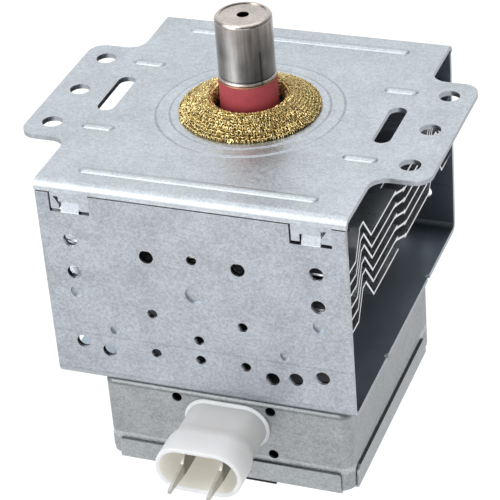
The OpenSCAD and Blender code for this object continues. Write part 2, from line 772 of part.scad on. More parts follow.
module output_seal() {
  color([0.66, 0.66, 0.66]) translate([0, 0, upper_magnet_z]) difference() {
    cylinder(h = output_rim_z + output_rim_t - upper_magnet_z, r = seal_r);
    translate([0, 0, -1]) cylinder(h = output_rim_z - upper_magnet_z + 1, r = seal_r - seal_wall);
    cylinder(h = 3 * cap_len, d = ceramic_d - 2 * ceramic_wall);
  }
}

module ring_magnet() {
  difference() {
    cylinder(h = magnet_h, d = magnet_d);
    translate([0, 0, -1]) cylinder(h = magnet_h + 2, d = magnet_bore_d);
  }
}

module upper_magnet() {
  color([0.2, 0.21, 0.24]) translate([0, 0, upper_magnet_z]) ring_magnet();
}

module lower_magnet() {
  color([0.2, 0.21, 0.24]) translate([0, 0, floor_top_z]) ring_magnet();
}

// A pole piece with its flange's outer face at zero and its funnel pointing down.
module pole_piece() {
  rotate_extrude() polygon([
    [pole_tip_r, -pole_depth], [funnel_r, 0], [anode_d / 2, 0], [anode_d / 2, -pole_t],
    [funnel_r + 1.4, -pole_t], [pole_tip_r + 1.4, -pole_depth - 1.2], [pole_tip_r, -pole_depth - 1.2]
  ]);
}

module upper_pole_piece() {
  color([0.55, 0.56, 0.58]) translate([0, 0, upper_magnet_z]) difference() {
    pole_piece();
    translate([rod_x, 0, -2 * pole_depth]) cylinder(h = 4 * pole_depth, r = rod_r + 0.4);
  }
}

module lower_pole_piece() {
  color([0.55, 0.56, 0.58]) translate([0, 0, lower_pole_z]) mirror([0, 0, 1]) pole_piece();
}

module anode_cylinder() {
  color([0.76, 0.5, 0.36]) translate([0, 0, anode_z]) difference() {
    cylinder(h = anode_h, d = anode_d);
    translate([0, 0, -1]) cylinder(h = anode_h + 2, d = anode_bore_d);
  }
}

module anode_vanes() {
  color([0.76, 0.5, 0.36]) translate([0, 0, vane_z]) intersection() {
    difference() {
      union() {
        for (k = [0 : vane_count - 1]) {
          rotate([0, 0, k * 360 / vane_count]) translate([0, -vane_t / 2, 0]) cube([anode_d, vane_t, vane_h]);
        }
        difference() {
          cylinder(h = vane_h, d = anode_bore_d);
          translate([0, 0, -1]) cylinder(h = vane_h + 2, d = anode_bore_d - 1);
        }
      }
      translate([0, 0, -1]) cylinder(h = vane_h + 2, d = vane_tip_d);
    }
    cylinder(h = vane_h, d = anode_bore_d);
  }
}

module strap_rings() {
  color([0.8, 0.56, 0.42]) for (z = [vane_top_z, vane_z - strap_h], r = [strap_inner_r, strap_outer_r]) {
    translate([0, 0, z]) difference() {
      cylinder(h = strap_h, r = r + strap_w);
      translate([0, 0, -1]) cylinder(h = strap_h + 2, r = r);
    }
  }
}

module cathode_filament() {
  color([0.4, 0.4, 0.42]) translate([0, 0, vane_z])
    linear_extrude(vane_h, twist = -360 * cathode_turns, slices = 12 * cathode_turns, $fn = 6)
      polygon(coil_cut(cathode_d / 2, cathode_wire_d / 2, vane_h / cathode_turns, 12));
}

module upper_end_shield() {
  color([0.5, 0.5, 0.52]) translate([0, 0, vane_top_z]) difference() {
    cylinder(h = shield_t, d = shield_d);
    translate([0, 0, -1]) cylinder(h = shield_t + 2, r = lead_r);
  }
}

module lower_end_shield() {
  color([0.5, 0.5, 0.52]) translate([0, 0, vane_z - shield_t]) difference() {
    cylinder(h = shield_t, d = shield_d);
    translate([0, 0, -1]) cylinder(h = shield_t + 2, r = lead_r + 0.4);
  }
}

// A lead that runs down at x and moves out to the stem's hole.
module lead(x, top_z, end_x) {
  bar([x, 0, lead_bend_z], [x, 0, top_z], lead_r);
  bar([end_x, 0, lead_join_z], [x, 0, lead_bend_z], lead_r);
  bar([end_x, 0, lead_end_z], [end_x, 0, lead_join_z], lead_r);
  translate([x, 0, lead_bend_z]) sphere(lead_r + bend_bead);
  translate([end_x, 0, lead_join_z]) sphere(lead_r + bend_bead);
}

module centre_lead() {
  color([0.52, 0.52, 0.55]) lead(0, vane_top_z + shield_t, stem_lead_x);
}

module side_lead() {
  color([0.52, 0.52, 0.55]) lead(-side_lead_x, vane_z - shield_t, -stem_lead_x);
}

module stem_seal() {
  color([0.66, 0.66, 0.66]) translate([0, 0, stem_z]) difference() {
    cylinder(h = lower_pole_z - stem_z, r = seal_r);
    translate([0, 0, output_rim_t]) cylinder(h = lower_pole_z - stem_z, r = seal_r - seal_wall);
    translate([0, 0, -1]) cylinder(h = 3, d = stem_ceramic_d - 2);
  }
}

module stem_ceramic() {
  color([0.86, 0.82, 0.78]) translate([0, 0, stem_ceramic_z]) difference() {
    cylinder(h = stem_ceramic_h, d = stem_ceramic_d);
    for (s = [-1, 1]) translate([s * stem_lead_x, 0, -1]) cylinder(h = stem_ceramic_h + 2, r = lead_r);
  }
}

// A flat strip under the stem ceramic that runs from a lead to the end of a choke.
module stem_terminal(x, end_x) {
  y = choke_foot_y - strip_w / 2;
  translate([0, 0, strip_z]) difference() {
    union() {
      translate([x - strip_w / 2, y, 0]) cube([strip_w, strip_w / 2 - y, strip_t]);
      translate([min(x, end_x) - strip_w / 2, y, 0]) cube([abs(end_x - x) + strip_w, strip_w, strip_t]);
    }
    translate([x, 0, -1]) cylinder(h = strip_t + 2, r = lead_r);
  }
}

module stem_terminal_left() {
  color([0.72, 0.72, 0.7]) stem_terminal(-stem_lead_x, connector_x - terminal_pitch / 2);
}

module stem_terminal_right() {
  color([0.72, 0.72, 0.7]) stem_terminal(stem_lead_x, connector_x + terminal_pitch / 2);
}

// One fin of the stack, with the spacer tabs that stand on the next fin below it where there is one.
module cooling_fin(k) {
  half = [
    [wall_in_y, 0], [fold_end_y, 0], [fold_crest_y + fold_crest_w, fold_h - 0.2],
    [fold_crest_y, fold_h], [fold_foot_y, 0]
  ];
  path = concat([for (p = half) [-p[0], p[1]]], [for (i = [len(half) - 1 : -1 : 0]) half[i]]);
  z = anode_mid_z + fin_rises[k];
  spacer_x = fin_w / 2 - spacer_w;
  start_y = spacer_land_y - spacer_len;
  color([0.85, 0.86, 0.88]) {
    difference() {
      union() {
        translate([0, 0, z]) along_x(fin_w) polygon(ribbon(path, fin_t));
        translate([0, 0, z - fin_t / 2]) cylinder(h = collar_h, d = anode_d + 2 * fin_t);
      }
      translate([0, 0, z - fin_t]) cylinder(h = collar_h + 2 * fin_t, d = anode_d);
      for (m = [0, 1]) mirror([m, 0, 0]) {
        translate([spacer_x, start_y, z - 1]) cube([spacer_w + 1, spacer_len, 2]);
      }
    }
    if (k + 1 < len(fin_rises)) {
      fall = fin_rises[k] - fin_rises[k + 1] - fin_t;
      tab = [
        [start_y - 2.4, -fin_t / 4], [start_y - 1.2, -fin_t / 2],
        [spacer_land_y, -fall], [spacer_land_y + spacer_foot, -fall]
      ];
      for (s = [-1, 1]) {
        translate([0, 0, z]) along_x(spacer_w, s * (spacer_x + spacer_w / 2)) polygon(ribbon(tab, fin_t));
      }
    }
  }
}

module cooling_fin_1() {
  cooling_fin(0);
}

module cooling_fin_2() {
  cooling_fin(1);
}

module cooling_fin_3() {
  cooling_fin(2);
}

module cooling_fin_4() {
  cooling_fin(3);
}

module cooling_fin_5() {
  cooling_fin(4);
}

module cooling_fin_6() {
  cooling_fin(5);
}

module box_outline(inset) {
  translate([box_x, (box_front_y + box_back_y) / 2])
    rounded_rect(box_w - 2 * inset, box_d - 2 * inset, box_corner_r - inset);
}

// What is taken off the box's upper edge to round it.
module upper_edge_cut() {
  module corner() {
    translate([-box_edge_r, -box_edge_r]) difference() {
      square(box_edge_r + 1);
      circle(box_edge_r);
    }
  }
  translate([box_x, (box_front_y + box_back_y) / 2, floor_z]) {
    for (m = [0, 1]) mirror([0, m, 0]) along_x(box_w - 2 * box_corner_r) translate([box_d / 2, 0]) corner();
    for (m = [0, 1]) mirror([m, 0, 0]) rotate([0, 0, -90]) {
      along_x(box_d - 2 * box_corner_r) translate([box_w / 2, 0]) corner();
    }
    for (mx = [0, 1], my = [0, 1]) mirror([mx, 0, 0]) mirror([0, my, 0]) {
      translate([box_w / 2 - box_corner_r, box_d / 2 - box_corner_r, 0]) rotate_extrude(angle = 90)
        translate([box_corner_r, 0]) corner();
    }
  }
}

module filter_box() {
  mid_y = (box_front_y + box_back_y) / 2;
  color([0.64, 0.66, 0.66]) difference() {
    translate([0, 0, wall_foot_z]) linear_extrude(floor_z - wall_foot_z) box_outline(0);
    translate([0, 0, wall_foot_z - 1]) linear_extrude(box_roof_z - wall_foot_z + 1) box_outline(box_t);
    upper_edge_cut();
    for (sx = [-1, 1], sy = [-1, 1]) {
      translate([box_x + sx * box_w / 2, mid_y + sy * box_d / 2, wall_foot_z])
        cube([2 * box_corner_r, 2 * box_corner_r, 2 * corner_relief], center = true);
    }
    translate([0, 0, box_roof_z - 1]) cylinder(h = box_t + 2, r = pass_r);
    rivet_holes(box_t + 2, box_roof_z - 1);
    translate([connector_x, box_front_y + box_t + 1, connector_z])
      stadium(connector_span) square([plug_h / 2, box_t + 2]);
    for (sx = [-1, 1], sz = [-1, 1]) {
      translate([
        connector_x - corner_shift_x + sx * corner_pitch_x / 2, box_front_y - 1,
        connector_z - corner_shift_z + sz * corner_pitch_z / 2
      ]) rotate([-90, 0, 0]) cylinder(h = box_t + 2, d = corner_hole_d);
    }
  }
}

// One folded edge of the cover along X with round shoulders, its outer face at y = 0.
module cover_edge(length, end_r) {
  difference() {
    along_x(length) {
      translate([cover_bend_r, cover_bend_r]) rotate(180)
        bend(cover_bend_r, cover_t, cover_bend_r, cover_bend_r);
      translate([0, cover_bend_r]) square([cover_t, cover_edge_h - cover_bend_r]);
    }
    for (m = [0, 1]) mirror([m, 0, 0]) along_y(2 * cover_t, -cover_t / 2) {
      translate([length / 2 - end_r, cover_edge_h - end_r]) difference() {
        square(end_r + 1);
        circle(end_r);
      }
    }
  }
}

module filter_box_cover() {
  mid_y = (box_front_y + box_back_y) / 2;
  out_x = box_w / 2 + cover_gap + cover_t;
  out_y = box_d / 2 + cover_gap + cover_t;
  front_len = box_w - 2 * box_corner_r;
  side_len = box_d - 2 * box_corner_r - side_cut - side_front_cut;
  side_y = (side_front_cut - side_cut) / 2;
  color([0.66, 0.68, 0.69]) translate([box_x, mid_y, pad_t]) {
    linear_extrude(cover_t) {
      rounded_rect(box_w, box_d, cover_corner_r);
      translate([0, side_y]) square([2 * (out_x - cover_bend_r), side_len], center = true);
      square([front_len, 2 * (out_y - cover_bend_r)], center = true);
    }
    for (m = [0, 1]) mirror([0, m, 0]) translate([0, -out_y, 0]) cover_edge(front_len, cover_end_r);
    for (m = [0, 1]) mirror([m, 0, 0]) {
      translate([out_x, side_y, 0]) rotate([0, 0, 90]) cover_edge(side_len, side_end_r);
    }
  }
}

module foot_pad() {
  color([0.06, 0.06, 0.06]) translate([connector_x - pad_w / 2, cover_front_y + pad_setback, 0])
    cube([pad_w, pad_d, pad_t]);
}

module box_rivets() {
  color([0.7, 0.71, 0.72]) rivet_places() {
    translate([0, 0, box_roof_z]) cylinder(h = box_t + sheet_t, d = rivet_d);
    translate([0, 0, floor_top_z])
      cylinder(h = rivet_head_h, d1 = rivet_head_d, d2 = rivet_head_d - rivet_head_h);
    translate([0, 0, box_roof_z - rivet_head_h])
      cylinder(h = rivet_head_h, d1 = rivet_head_d - rivet_head_h, d2 = rivet_head_d);
  }
}

module connector_housing() {
  reach = neck_len + shoulder_len + shroud_len;
  inner_r = shroud_h / 2 - shroud_wall;
  color([0.93, 0.92, 0.9]) difference() {
    translate([connector_x, box_front_y, connector_z]) {
      translate([0, box_t, 0]) stadium(connector_span) square([plug_h / 2, box_t]);
      stadium(connector_span) polygon([
        [0, 0], [flange_h / 2, 0], [flange_h / 2, flange_t], [neck_h / 2, flange_t], [neck_h / 2, neck_len],
        [shroud_h / 2, neck_len + shoulder_len], [shroud_h / 2, reach], [0, reach]
      ]);
    }
    translate([connector_x, box_front_y, connector_z]) stadium(connector_span) polygon([
      [0, reach - socket_depth], [neck_h / 2 - shroud_wall, reach - socket_depth],
      [neck_h / 2 - shroud_wall, neck_len], [inner_r, neck_len + shoulder_len],
      [inner_r, reach + 1], [0, reach + 1]
    ]);
    for (s = [-1, 1]) terminal_space(s);
  }
}

// The straight passage of a terminal through connector and capacitor.
module terminal_space(s) {
  translate([connector_x + s * terminal_pitch / 2 - terminal_t / 2, rim_y - 1, terminal_z - terminal_h / 2])
    cube([terminal_t, capacitor_y - rim_y + 2, terminal_h]);
}

// A tab terminal: a full root in the socket, a shoulder, a blade that thins to its tip and a tail behind.
module terminal(s) {
  tip_y = rim_y - terminal_reach;
  root_y = socket_y - terminal_root;
  along_x(terminal_t, connector_x + s * terminal_pitch / 2) translate([0, terminal_z]) polygon([
    [capacitor_y, terminal_h / 2], [root_y, terminal_h / 2], [root_y - 0.5, 0.3 * terminal_h],
    [root_y - 1.6, 0.1 * terminal_h], [tip_y, -0.12 * terminal_h],
    [tip_y, -0.12 * terminal_h - terminal_tip_h], [root_y - 0.4, -terminal_h / 2],
    [capacitor_y, -terminal_h / 2], [capacitor_y, -tail_h / 2], [tail_y, -tail_h / 2],
    [tail_y, tail_h / 2], [capacitor_y, tail_h / 2]
  ]);
}

module terminal_left() {
  color([0.7, 0.69, 0.66]) terminal(-1);
}

module terminal_right() {
  color([0.7, 0.69, 0.66]) terminal(1);
}

module capacitor_body() {
  color([0.25, 0.35, 0.55]) difference() {
    translate([connector_x, capacitor_y, connector_z])
      stadium(connector_span) square([capacitor_h / 2, capacitor_len]);
    for (s = [-1, 1]) terminal_space(s);
  }
}

// A choke coil on the line of its terminal, with its ends on the terminal's tail and on the stem strip.
module choke_coil(s) {
  x = connector_x + s * terminal_pitch / 2;
  top = terminal_z + choke_r;
  color([0.72, 0.42, 0.26]) {
    translate([x, choke_y, terminal_z]) rotate([-90, 0, 0])
      linear_extrude(choke_len, twist = -360 * choke_turns, slices = 12 * choke_turns, $fn = 6)
        rotate(-90) polygon(coil_cut(choke_r, choke_wire_r, choke_len / choke_turns, 16));
    translate([x, tail_y - 2, top]) rotate([-90, 0, 0])
      cylinder(h = choke_y - tail_y + 2.1, r = choke_wire_r, $fn = 6);
    translate([x, choke_end_y - 0.1, top]) rotate([-90, 0, 0])
      cylinder(h = choke_foot_y - choke_end_y + 0.1, r = choke_wire_r, $fn = 6);
    translate([x, choke_foot_y, strip_z + strip_t])
      cylinder(h = top - strip_z - strip_t + choke_flat_r, r = choke_wire_r, $fn = 6);
  }
}

module choke_coil_left() {
  choke_coil(-1);
}

module choke_coil_right() {
  choke_coil(1);
}

module choke_core(s) {
  y = choke_y + choke_len / 2 - core_len / 2;
  color([0.22, 0.22, 0.24]) translate([connector_x + s * terminal_pitch / 2, y, terminal_z])
    rotate([-90, 0, 0]) cylinder(h = core_len, d = core_d);
}

module choke_core_left() {
  choke_core(-1);
}

module choke_core_right() {
  choke_core(1);
}

top_plate();
lower_yoke();
rf_gasket();
antenna_cap();
exhaust_tube();
antenna_rod();
output_ceramic();
output_seal();
upper_magnet();
lower_magnet();
upper_pole_piece();
lower_pole_piece();
anode_cylinder();
anode_vanes();
strap_rings();
cathode_filament();
upper_end_shield();
lower_end_shield();
centre_lead();
side_lead();
stem_seal();
stem_ceramic();
stem_terminal_left();
stem_terminal_right();
cooling_fin_1();
cooling_fin_2();
cooling_fin_3();
cooling_fin_4();
cooling_fin_5();
cooling_fin_6();
filter_box();
filter_box_cover();
foot_pad();
box_rivets();
connector_housing();
terminal_left();
terminal_right();
capacitor_body();
choke_coil_left();
choke_coil_right();
choke_core_left();
choke_core_right();
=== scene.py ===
# %% [markdown]
# # A microwave-oven magnetron in studio light
# The solids of this part are already exact: folded sheet steel, a stack of cooling fins, a capped
# antenna and a filter box with a plug connector. This lesson dresses them. We load the solids as a
# fixed frame, set up the camera and the lights, give each piece a finish of its own, and model the
# pieces that a plain solid can't show: the knitted wire gasket and the rounded connector moulding.

# %% load the frame
import json
import math

import bpy
from mathutils import Matrix, Vector, noise


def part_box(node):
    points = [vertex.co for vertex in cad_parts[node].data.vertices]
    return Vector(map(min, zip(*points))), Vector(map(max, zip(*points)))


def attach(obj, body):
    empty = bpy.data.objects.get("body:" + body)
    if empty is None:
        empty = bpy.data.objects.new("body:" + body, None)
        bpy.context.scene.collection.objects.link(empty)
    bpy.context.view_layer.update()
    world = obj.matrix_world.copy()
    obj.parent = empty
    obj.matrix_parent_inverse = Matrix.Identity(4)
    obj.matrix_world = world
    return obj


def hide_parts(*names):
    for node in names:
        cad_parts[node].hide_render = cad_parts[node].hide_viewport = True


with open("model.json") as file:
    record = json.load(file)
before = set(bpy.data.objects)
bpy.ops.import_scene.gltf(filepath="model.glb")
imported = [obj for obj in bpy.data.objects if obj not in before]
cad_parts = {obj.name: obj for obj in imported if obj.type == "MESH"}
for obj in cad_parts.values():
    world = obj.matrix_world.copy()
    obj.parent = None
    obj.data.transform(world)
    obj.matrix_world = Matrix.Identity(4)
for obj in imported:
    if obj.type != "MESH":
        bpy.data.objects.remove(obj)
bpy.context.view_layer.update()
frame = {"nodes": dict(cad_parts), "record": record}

MM = 0.001
nodes = frame["nodes"]

# %% [markdown]
# ## Camera
# The photograph was taken with a long lens from the front right, looking down by about a third of a
# right angle, and slightly rolled. We write the camera's own axes from these three angles and place it
# by one matrix, because a look-at helper would lose the roll. The small shift puts the optical axis where
# it lies in the photograph's frame.

# %% camera at the photograph's angle
AZIMUTH, ELEVATION, ROLL = (math.radians(a) for a in (22.462, 32.798, -4.731))
EYE = Vector((0.190634, -0.464933, 0.365667))
PICTURE = 500.0
FOCAL_PIXELS = 2177.045
AXIS_X, AXIS_Y = 256.595, 251.032
SENSOR = 36.0

level_out = Vector((math.sin(AZIMUTH), -math.cos(AZIMUTH), 0.0)) * math.cos(ELEVATION)
away = level_out + Vector((0.0, 0.0, math.sin(ELEVATION)))
right = Vector((math.cos(AZIMUTH), math.sin(AZIMUTH), 0.0))
up = away.cross(right)
view_x = right * math.cos(ROLL) + up * math.sin(ROLL)
view_y = up * math.cos(ROLL) - right * math.sin(ROLL)
lens = bpy.data.cameras.new("photo_camera")
lens.sensor_width = SENSOR
lens.lens = FOCAL_PIXELS * SENSOR / PICTURE
lens.shift_x = (PICTURE / 2 - AXIS_X) / PICTURE
lens.shift_y = (AXIS_Y - PICTURE / 2) / PICTURE
lens.clip_start = 0.01
camera = bpy.data.objects.new("photo_camera", lens)
bpy.context.scene.collection.objects.link(camera)
facing = Matrix((view_x, view_y, away)).transposed()
camera.matrix_world = Matrix.Translation(EYE) @ facing.to_4x4()
bpy.context.scene.camera = camera
print("camera at", [round(v, 3) for v in EYE], "lens", round(lens.lens, 1), "mm")

# %% [markdown]
# ## Nodes in code
# The light and every finish below are graphs of nodes. By hand, a node is dropped into the editor, its
# fields are filled in and wires are drawn to it. The helper `add` does that in one line, and `put` decides
# whether a field gets a value or a wire. The others are short names for the nodes that return most often.
# A Mix node has a set of sockets for each kind of data, all with the same labels, so the colour ones are
# found by number.

# %% node helpers
COLOUR_A, COLOUR_B, COLOUR_OUT = 6, 7, 2


def put(tree, socket, value):
    if isinstance(value, bpy.types.NodeSocket):
        tree.links.new(value, socket)
    else:
        socket.default_value = value


def add(tree, kind, fields=(), **options):
    node = tree.nodes.new("ShaderNode" + kind)
    for name, option in options.items():
        setattr(node, name, option)
    for label, value in dict(fields).items():
        put(tree, node.inputs[label], value)
    return node


def maths(tree, operation, *values, clamp=False):
    return add(tree, "Math", enumerate(values), operation=operation, use_clamp=clamp).outputs["Value"]


def ranged(tree, value, start, end, low=0.0, high=1.0):
    fields = {"Value": value, "From Min": start, "From Max": end, "To Min": low, "To Max": high}
    return add(tree, "MapRange", fields).outputs["Result"]


def mixed(tree, share, first, second, **options):
    fields = {"Factor": share, COLOUR_A: first, COLOUR_B: second}
    return add(tree, "Mix", fields, data_type="RGBA", **options).outputs[COLOUR_OUT]


def scaled(tree, colour, share):
    return add(tree, "VectorMath", {0: colour, "Scale": share}, operation="SCALE").outputs["Vector"]


def rgb(r, g, b):
    return (r, g, b, 1.0)


print("helpers:", [helper.__name__ for helper in (put, add, maths, ranged, mixed, scaled, rgb)])

# %% [markdown]
# ## Studio walls
# Galvanised sheet is mostly a mirror for its surroundings, so the studio is part of its finish. One colour
# ramp is bent round the room as a ring of walls: white behind the object, dim on the camera's side, which
# gives the round cap its dark middle, and with one narrow bright strip that draws the light stripe down the
# cap. Further up, the walls never fall below a soft grey, so that the top plate isn't black from behind.

# %% walls that the metal mirrors
WALLS = [
    (0.0, 1.0), (0.09, 0.95), (0.14, 0.55), (0.24, 0.5), (0.30, 0.6), (0.325, 3.7), (0.357, 3.7),
    (0.378, 0.30), (0.45, 0.10), (0.52, 0.04), (0.61, 0.04), (0.66, 0.26), (0.80, 0.36), (0.91, 0.95),
    (1.0, 1.0),
]
SOFT_GREY = rgb(0.22, 0.222, 0.225)
LIFT_FROM, LIFT_TO = 0.12, 0.32

world = bpy.data.worlds.new("studio")
bpy.context.scene.world = world
world.use_nodes = True
studio = world.node_tree
studio.nodes.clear()
outlook = add(studio, "TexCoord").outputs["Generated"]
turned_view = add(studio, "Mapping", {"Vector": outlook, "Rotation": (0.0, 0.0, math.pi / 2 - AZIMUTH)})
ring = add(studio, "TexGradient", {"Vector": turned_view.outputs["Vector"]}, gradient_type="RADIAL")
walls = add(studio, "ValToRGB", {"Fac": ring.outputs["Fac"]})
for place, level in WALLS[1:-1]:
    walls.color_ramp.elements.new(place)
for stop, (place, level) in zip(walls.color_ramp.elements, WALLS):
    stop.position = place
    stop.color = (level * 0.985, level * 0.995, level, 1.0)
height = add(studio, "SeparateXYZ", {"Vector": outlook}).outputs["Z"]
lift = ranged(studio, height, LIFT_FROM, LIFT_TO)
mirrored = mixed(studio, lift, walls.outputs["Color"], SOFT_GREY, blend_type="LIGHTEN")
print("stops round the room:", len(walls.color_ramp.elements))

# %% [markdown]
# ## Background and fill
# A catalogue photograph has a pure white background, and lighting the whole room white would wash out the
# object. Light Path keeps the two apart: the camera sees plain white, metal and glass see the walls, and
# everything else gets an even, slightly blue fill. The view transform is Standard, so that a colour comes
# out as it is written.

# %% what each kind of ray sees
FILL = 0.42
bpy.context.scene.view_settings.view_transform = "Standard"
ray = add(studio, "LightPath").outputs
by_mirror = maths(studio, "ADD", ray["Is Glossy Ray"], ray["Is Transmission Ray"], clamp=True)
fill_field = {"Color": rgb(0.92, 0.96, 1.0), "Strength": FILL}
fill_light = add(studio, "Background", fill_field).outputs["Background"]
wall_light = add(studio, "Background", {"Color": mirrored}).outputs["Background"]
backdrop = add(studio, "Background", {"Color": rgb(1.0, 1.0, 1.0)}).outputs["Background"]
on_object = add(studio, "MixShader", {"Fac": by_mirror, 1: fill_light, 2: wall_light}).outputs["Shader"]
seen = add(studio, "MixShader", {"Fac": ray["Is Camera Ray"], 1: on_object, 2: backdrop}).outputs["Shader"]
add(studio, "OutputWorld", {"Surface": seen})
print("world nodes:", len(studio.nodes))

# %% [markdown]
# ## Lamps
# Three large soft boxes stand round the object, as on a product table: one high on the left, one overhead
# and one low in front. Large boxes are chosen over strong ones, because a small lamp burns white spots into
# the bends of the sheet.


# %% soft boxes
def softbox(name, place, target, size, watts):
    lamp = bpy.data.lights.new(name, "AREA")
    lamp.shape = "RECTANGLE"
    lamp.size, lamp.size_y = size
    lamp.energy = watts
    box = bpy.data.objects.new(name, lamp)
    bpy.context.scene.collection.objects.link(box)
    box.location = place
    box.rotation_euler = (Vector(target) - Vector(place)).to_track_quat("-Z", "Y").to_euler()
    return box


lamps = [
    softbox("key_left", (-0.42, -0.50, 0.60), (0, 0, 0.06), (0.90, 0.90), 3.4),
    softbox("overhead", (0.03, 0.06, 0.95), (0, 0, 0.06), (1.10, 1.00), 2.45),
    softbox("front_low", (0.10, -0.75, 0.16), (0, -0.05, 0.03), (1.0, 0.4), 1.95),
]
print("lamps:", {box.name: round(box.data.energy, 2) for box in lamps})

# %% [markdown]
# ## Floor
# The object stands on a white sheet that runs out of sight. Paper alone would render grey here, so it also
# glows for the camera and in mirrors. A small share stays plain paper, and that share takes the shadow.

# %% white sheet
SHEET_SIZE, SHEET_DROP = 6.0, 0.5 * MM
GLOW, CAMERA_GLOW, GLOW_SHARE = 0.94, 0.2, 0.92

bpy.ops.object.select_all(action="DESELECT")
bpy.ops.mesh.primitive_plane_add(size=SHEET_SIZE, location=(0, 0, -SHEET_DROP))
floor = bpy.context.object
floor.name = "studio_floor"
white_sheet = bpy.data.materials.new("white_sheet")
white_sheet.use_nodes = True
paper = white_sheet.node_tree
paper.nodes.clear()
ray = add(paper, "LightPath").outputs
strength = maths(paper, "MULTIPLY_ADD", ray["Is Camera Ray"], CAMERA_GLOW, GLOW)
glow = add(paper, "Emission", {"Color": rgb(1.0, 1.0, 1.0), "Strength": strength}).outputs["Emission"]
matt = add(paper, "BsdfDiffuse", {"Color": rgb(0.85, 0.85, 0.85)}).outputs["BSDF"]
looked_at = maths(paper, "ADD", ray["Is Camera Ray"], ray["Is Glossy Ray"], clamp=True)
looked_at = maths(paper, "ADD", looked_at, ray["Is Transmission Ray"], clamp=True)
glowing = maths(paper, "MULTIPLY", looked_at, GLOW_SHARE)
sheet_look = add(paper, "MixShader", {"Fac": glowing, 1: matt, 2: glow}).outputs["Shader"]
add(paper, "OutputMaterial", {"Surface": sheet_look})
floor.data.materials.append(white_sheet)
print("floor:", floor.name, "nodes:", len(paper.nodes))

# %% [markdown]
# ## Shared effects
# Some effects return in many finishes, such as the grain of drawn metal or a line along an edge. Each is
# built once as a node group with named inputs, so that a material only sets its own values. A group is
# made by its list of inputs and outputs, and all patterns read Object coordinates, which are real places
# on the part, so no unwrapping is needed.

# %% group helpers
SURFACE = {"Colour": "Color", "Roughness": "Float", "Height": "Float"}
TINT = {"Colour": "Color"}


def group(name, inputs, outputs):
    tree = bpy.data.node_groups.new(name, "ShaderNodeTree")
    for label, value in inputs.items():
        kind = "NodeSocketColor" if isinstance(value, tuple) else "NodeSocketFloat"
        tree.interface.new_socket(name=label, in_out="INPUT", socket_type=kind).default_value = value
    for label, kind in outputs.items():
        tree.interface.new_socket(name=label, in_out="OUTPUT", socket_type="NodeSocket" + kind)
    return tree, tree.nodes.new("NodeGroupInput").outputs


def put_out(tree, **values):
    end = tree.nodes.new("NodeGroupOutput")
    for label, value in values.items():
        tree.links.new(value, end.inputs[label])
    print("group:", tree.name, "nodes:", len(tree.nodes))
    return tree


def spot(tree):
    return add(tree, "TexCoord").outputs["Object"]


def axes(tree):
    return add(tree, "SeparateXYZ", {"Vector": spot(tree)}).outputs


def cloudy(tree, at, scale, detail, coarse=0.5):
    fields = {"Vector": at, "Scale": scale, "Detail": detail, "Roughness": coarse}
    return add(tree, "TexNoise", fields).outputs["Fac"]


print("a surface group puts out:", list(SURFACE), "a tint group:", list(TINT))

# %% [markdown]
# ### Zinc spangle
# Hot-dip zinc freezes into small crystals, and rolling leaves short streaks in it. One noise texture would
# look like fog, so four patterns are added up: soft clouds, tiny flakes, fine grain and streaks along X.
# Their sum picks a tone between dark and light, and bright places are also a little rougher.


# %% zinc spangle group
def zinc_spangle():
    inputs = {"Colour": rgb(0.6, 0.63, 0.67), "Dark": rgb(0.5, 0.52, 0.56), "Roughness": 0.38, "Spread": 0.1}
    tree, field = group("zinc_spangle", inputs, SURFACE)
    at = spot(tree)
    along = add(tree, "VectorMath", {0: at, 1: (0.12, 1.0, 1.0)}, operation="MULTIPLY").outputs["Vector"]
    flakes = add(tree, "TexVoronoi", {"Vector": at, "Scale": 2100.0}).outputs["Color"]
    flake = add(tree, "SeparateColor", {"Color": flakes}).outputs["Red"]
    grain = cloudy(tree, at, 2600.0, 2.0, 0.7)
    rolled = cloudy(tree, along, 1500.0, 3.0, 0.6)
    total = cloudy(tree, at, 110.0, 5.0, 0.65)
    for pattern, share in ((flake, 0.6), (grain, 0.9), (rolled, 0.35)):
        total = maths(tree, "MULTIPLY_ADD", pattern, share, total)
    level = ranged(tree, total, 1.0, 1.85)
    swing = maths(tree, "SUBTRACT", level, 0.5)
    return put_out(
        tree,
        Colour=mixed(tree, level, field["Dark"], field["Colour"]),
        Roughness=maths(tree, "MULTIPLY_ADD", swing, field["Spread"], field["Roughness"]),
        Height=grain,
    )


SPANGLE = zinc_spangle()

# %% [markdown]
# ### Shade inside the yoke
# Between its two walls the yoke mirrors black magnets and its own dark corners, far darker than an open
# studio can make it. So the shade is painted by place: a dim blue grey inside, darkest beside the walls and
# in the middle, and lighter towards the open ends. Just behind the outer faces, the cut edges of the clinch
# joints lose some light, and the barrels of the vent holes lose nearly all of it.

# %% places on the yoke
yoke_low, yoke_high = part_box("lower_yoke")
STEEL, RIB, HAIR = 1.4 * MM, 0.6 * MM, 0.02 * MM
WALL_OUT = yoke_high.y
WALL_IN = WALL_OUT - STEEL
FLOOR_TOP = yoke_low.z + STEEL
PLATE_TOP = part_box("top_plate")[1].z - RIB
PLATE_UNDER = PLATE_TOP - STEEL
CLINCH_FOOT = 76.0 * MM
HOLES_LOW, HOLES_SIDE = 31.0 * MM, 40.5 * MM
BARREL_FACE = WALL_IN + 0.66 * MM
CUT_FACE = WALL_OUT - 0.08 * MM
FLOOR_SKIN = FLOOR_TOP - 0.13 * MM
BY_WALL, OFF_WALL = 44.5 * MM, 36.0 * MM
LEFT_DEEP, LEFT_OPEN = -27.8 * MM, -30.5 * MM
RIGHT_DEEP, RIGHT_OPEN = 12.0 * MM, 22.0 * MM
CUT_LOSS, BARREL_LOSS = 0.28, 0.85
WALL_LIGHT, DEEP_LIGHT, LEFT_LIGHT = 0.48, 0.1, 1.15
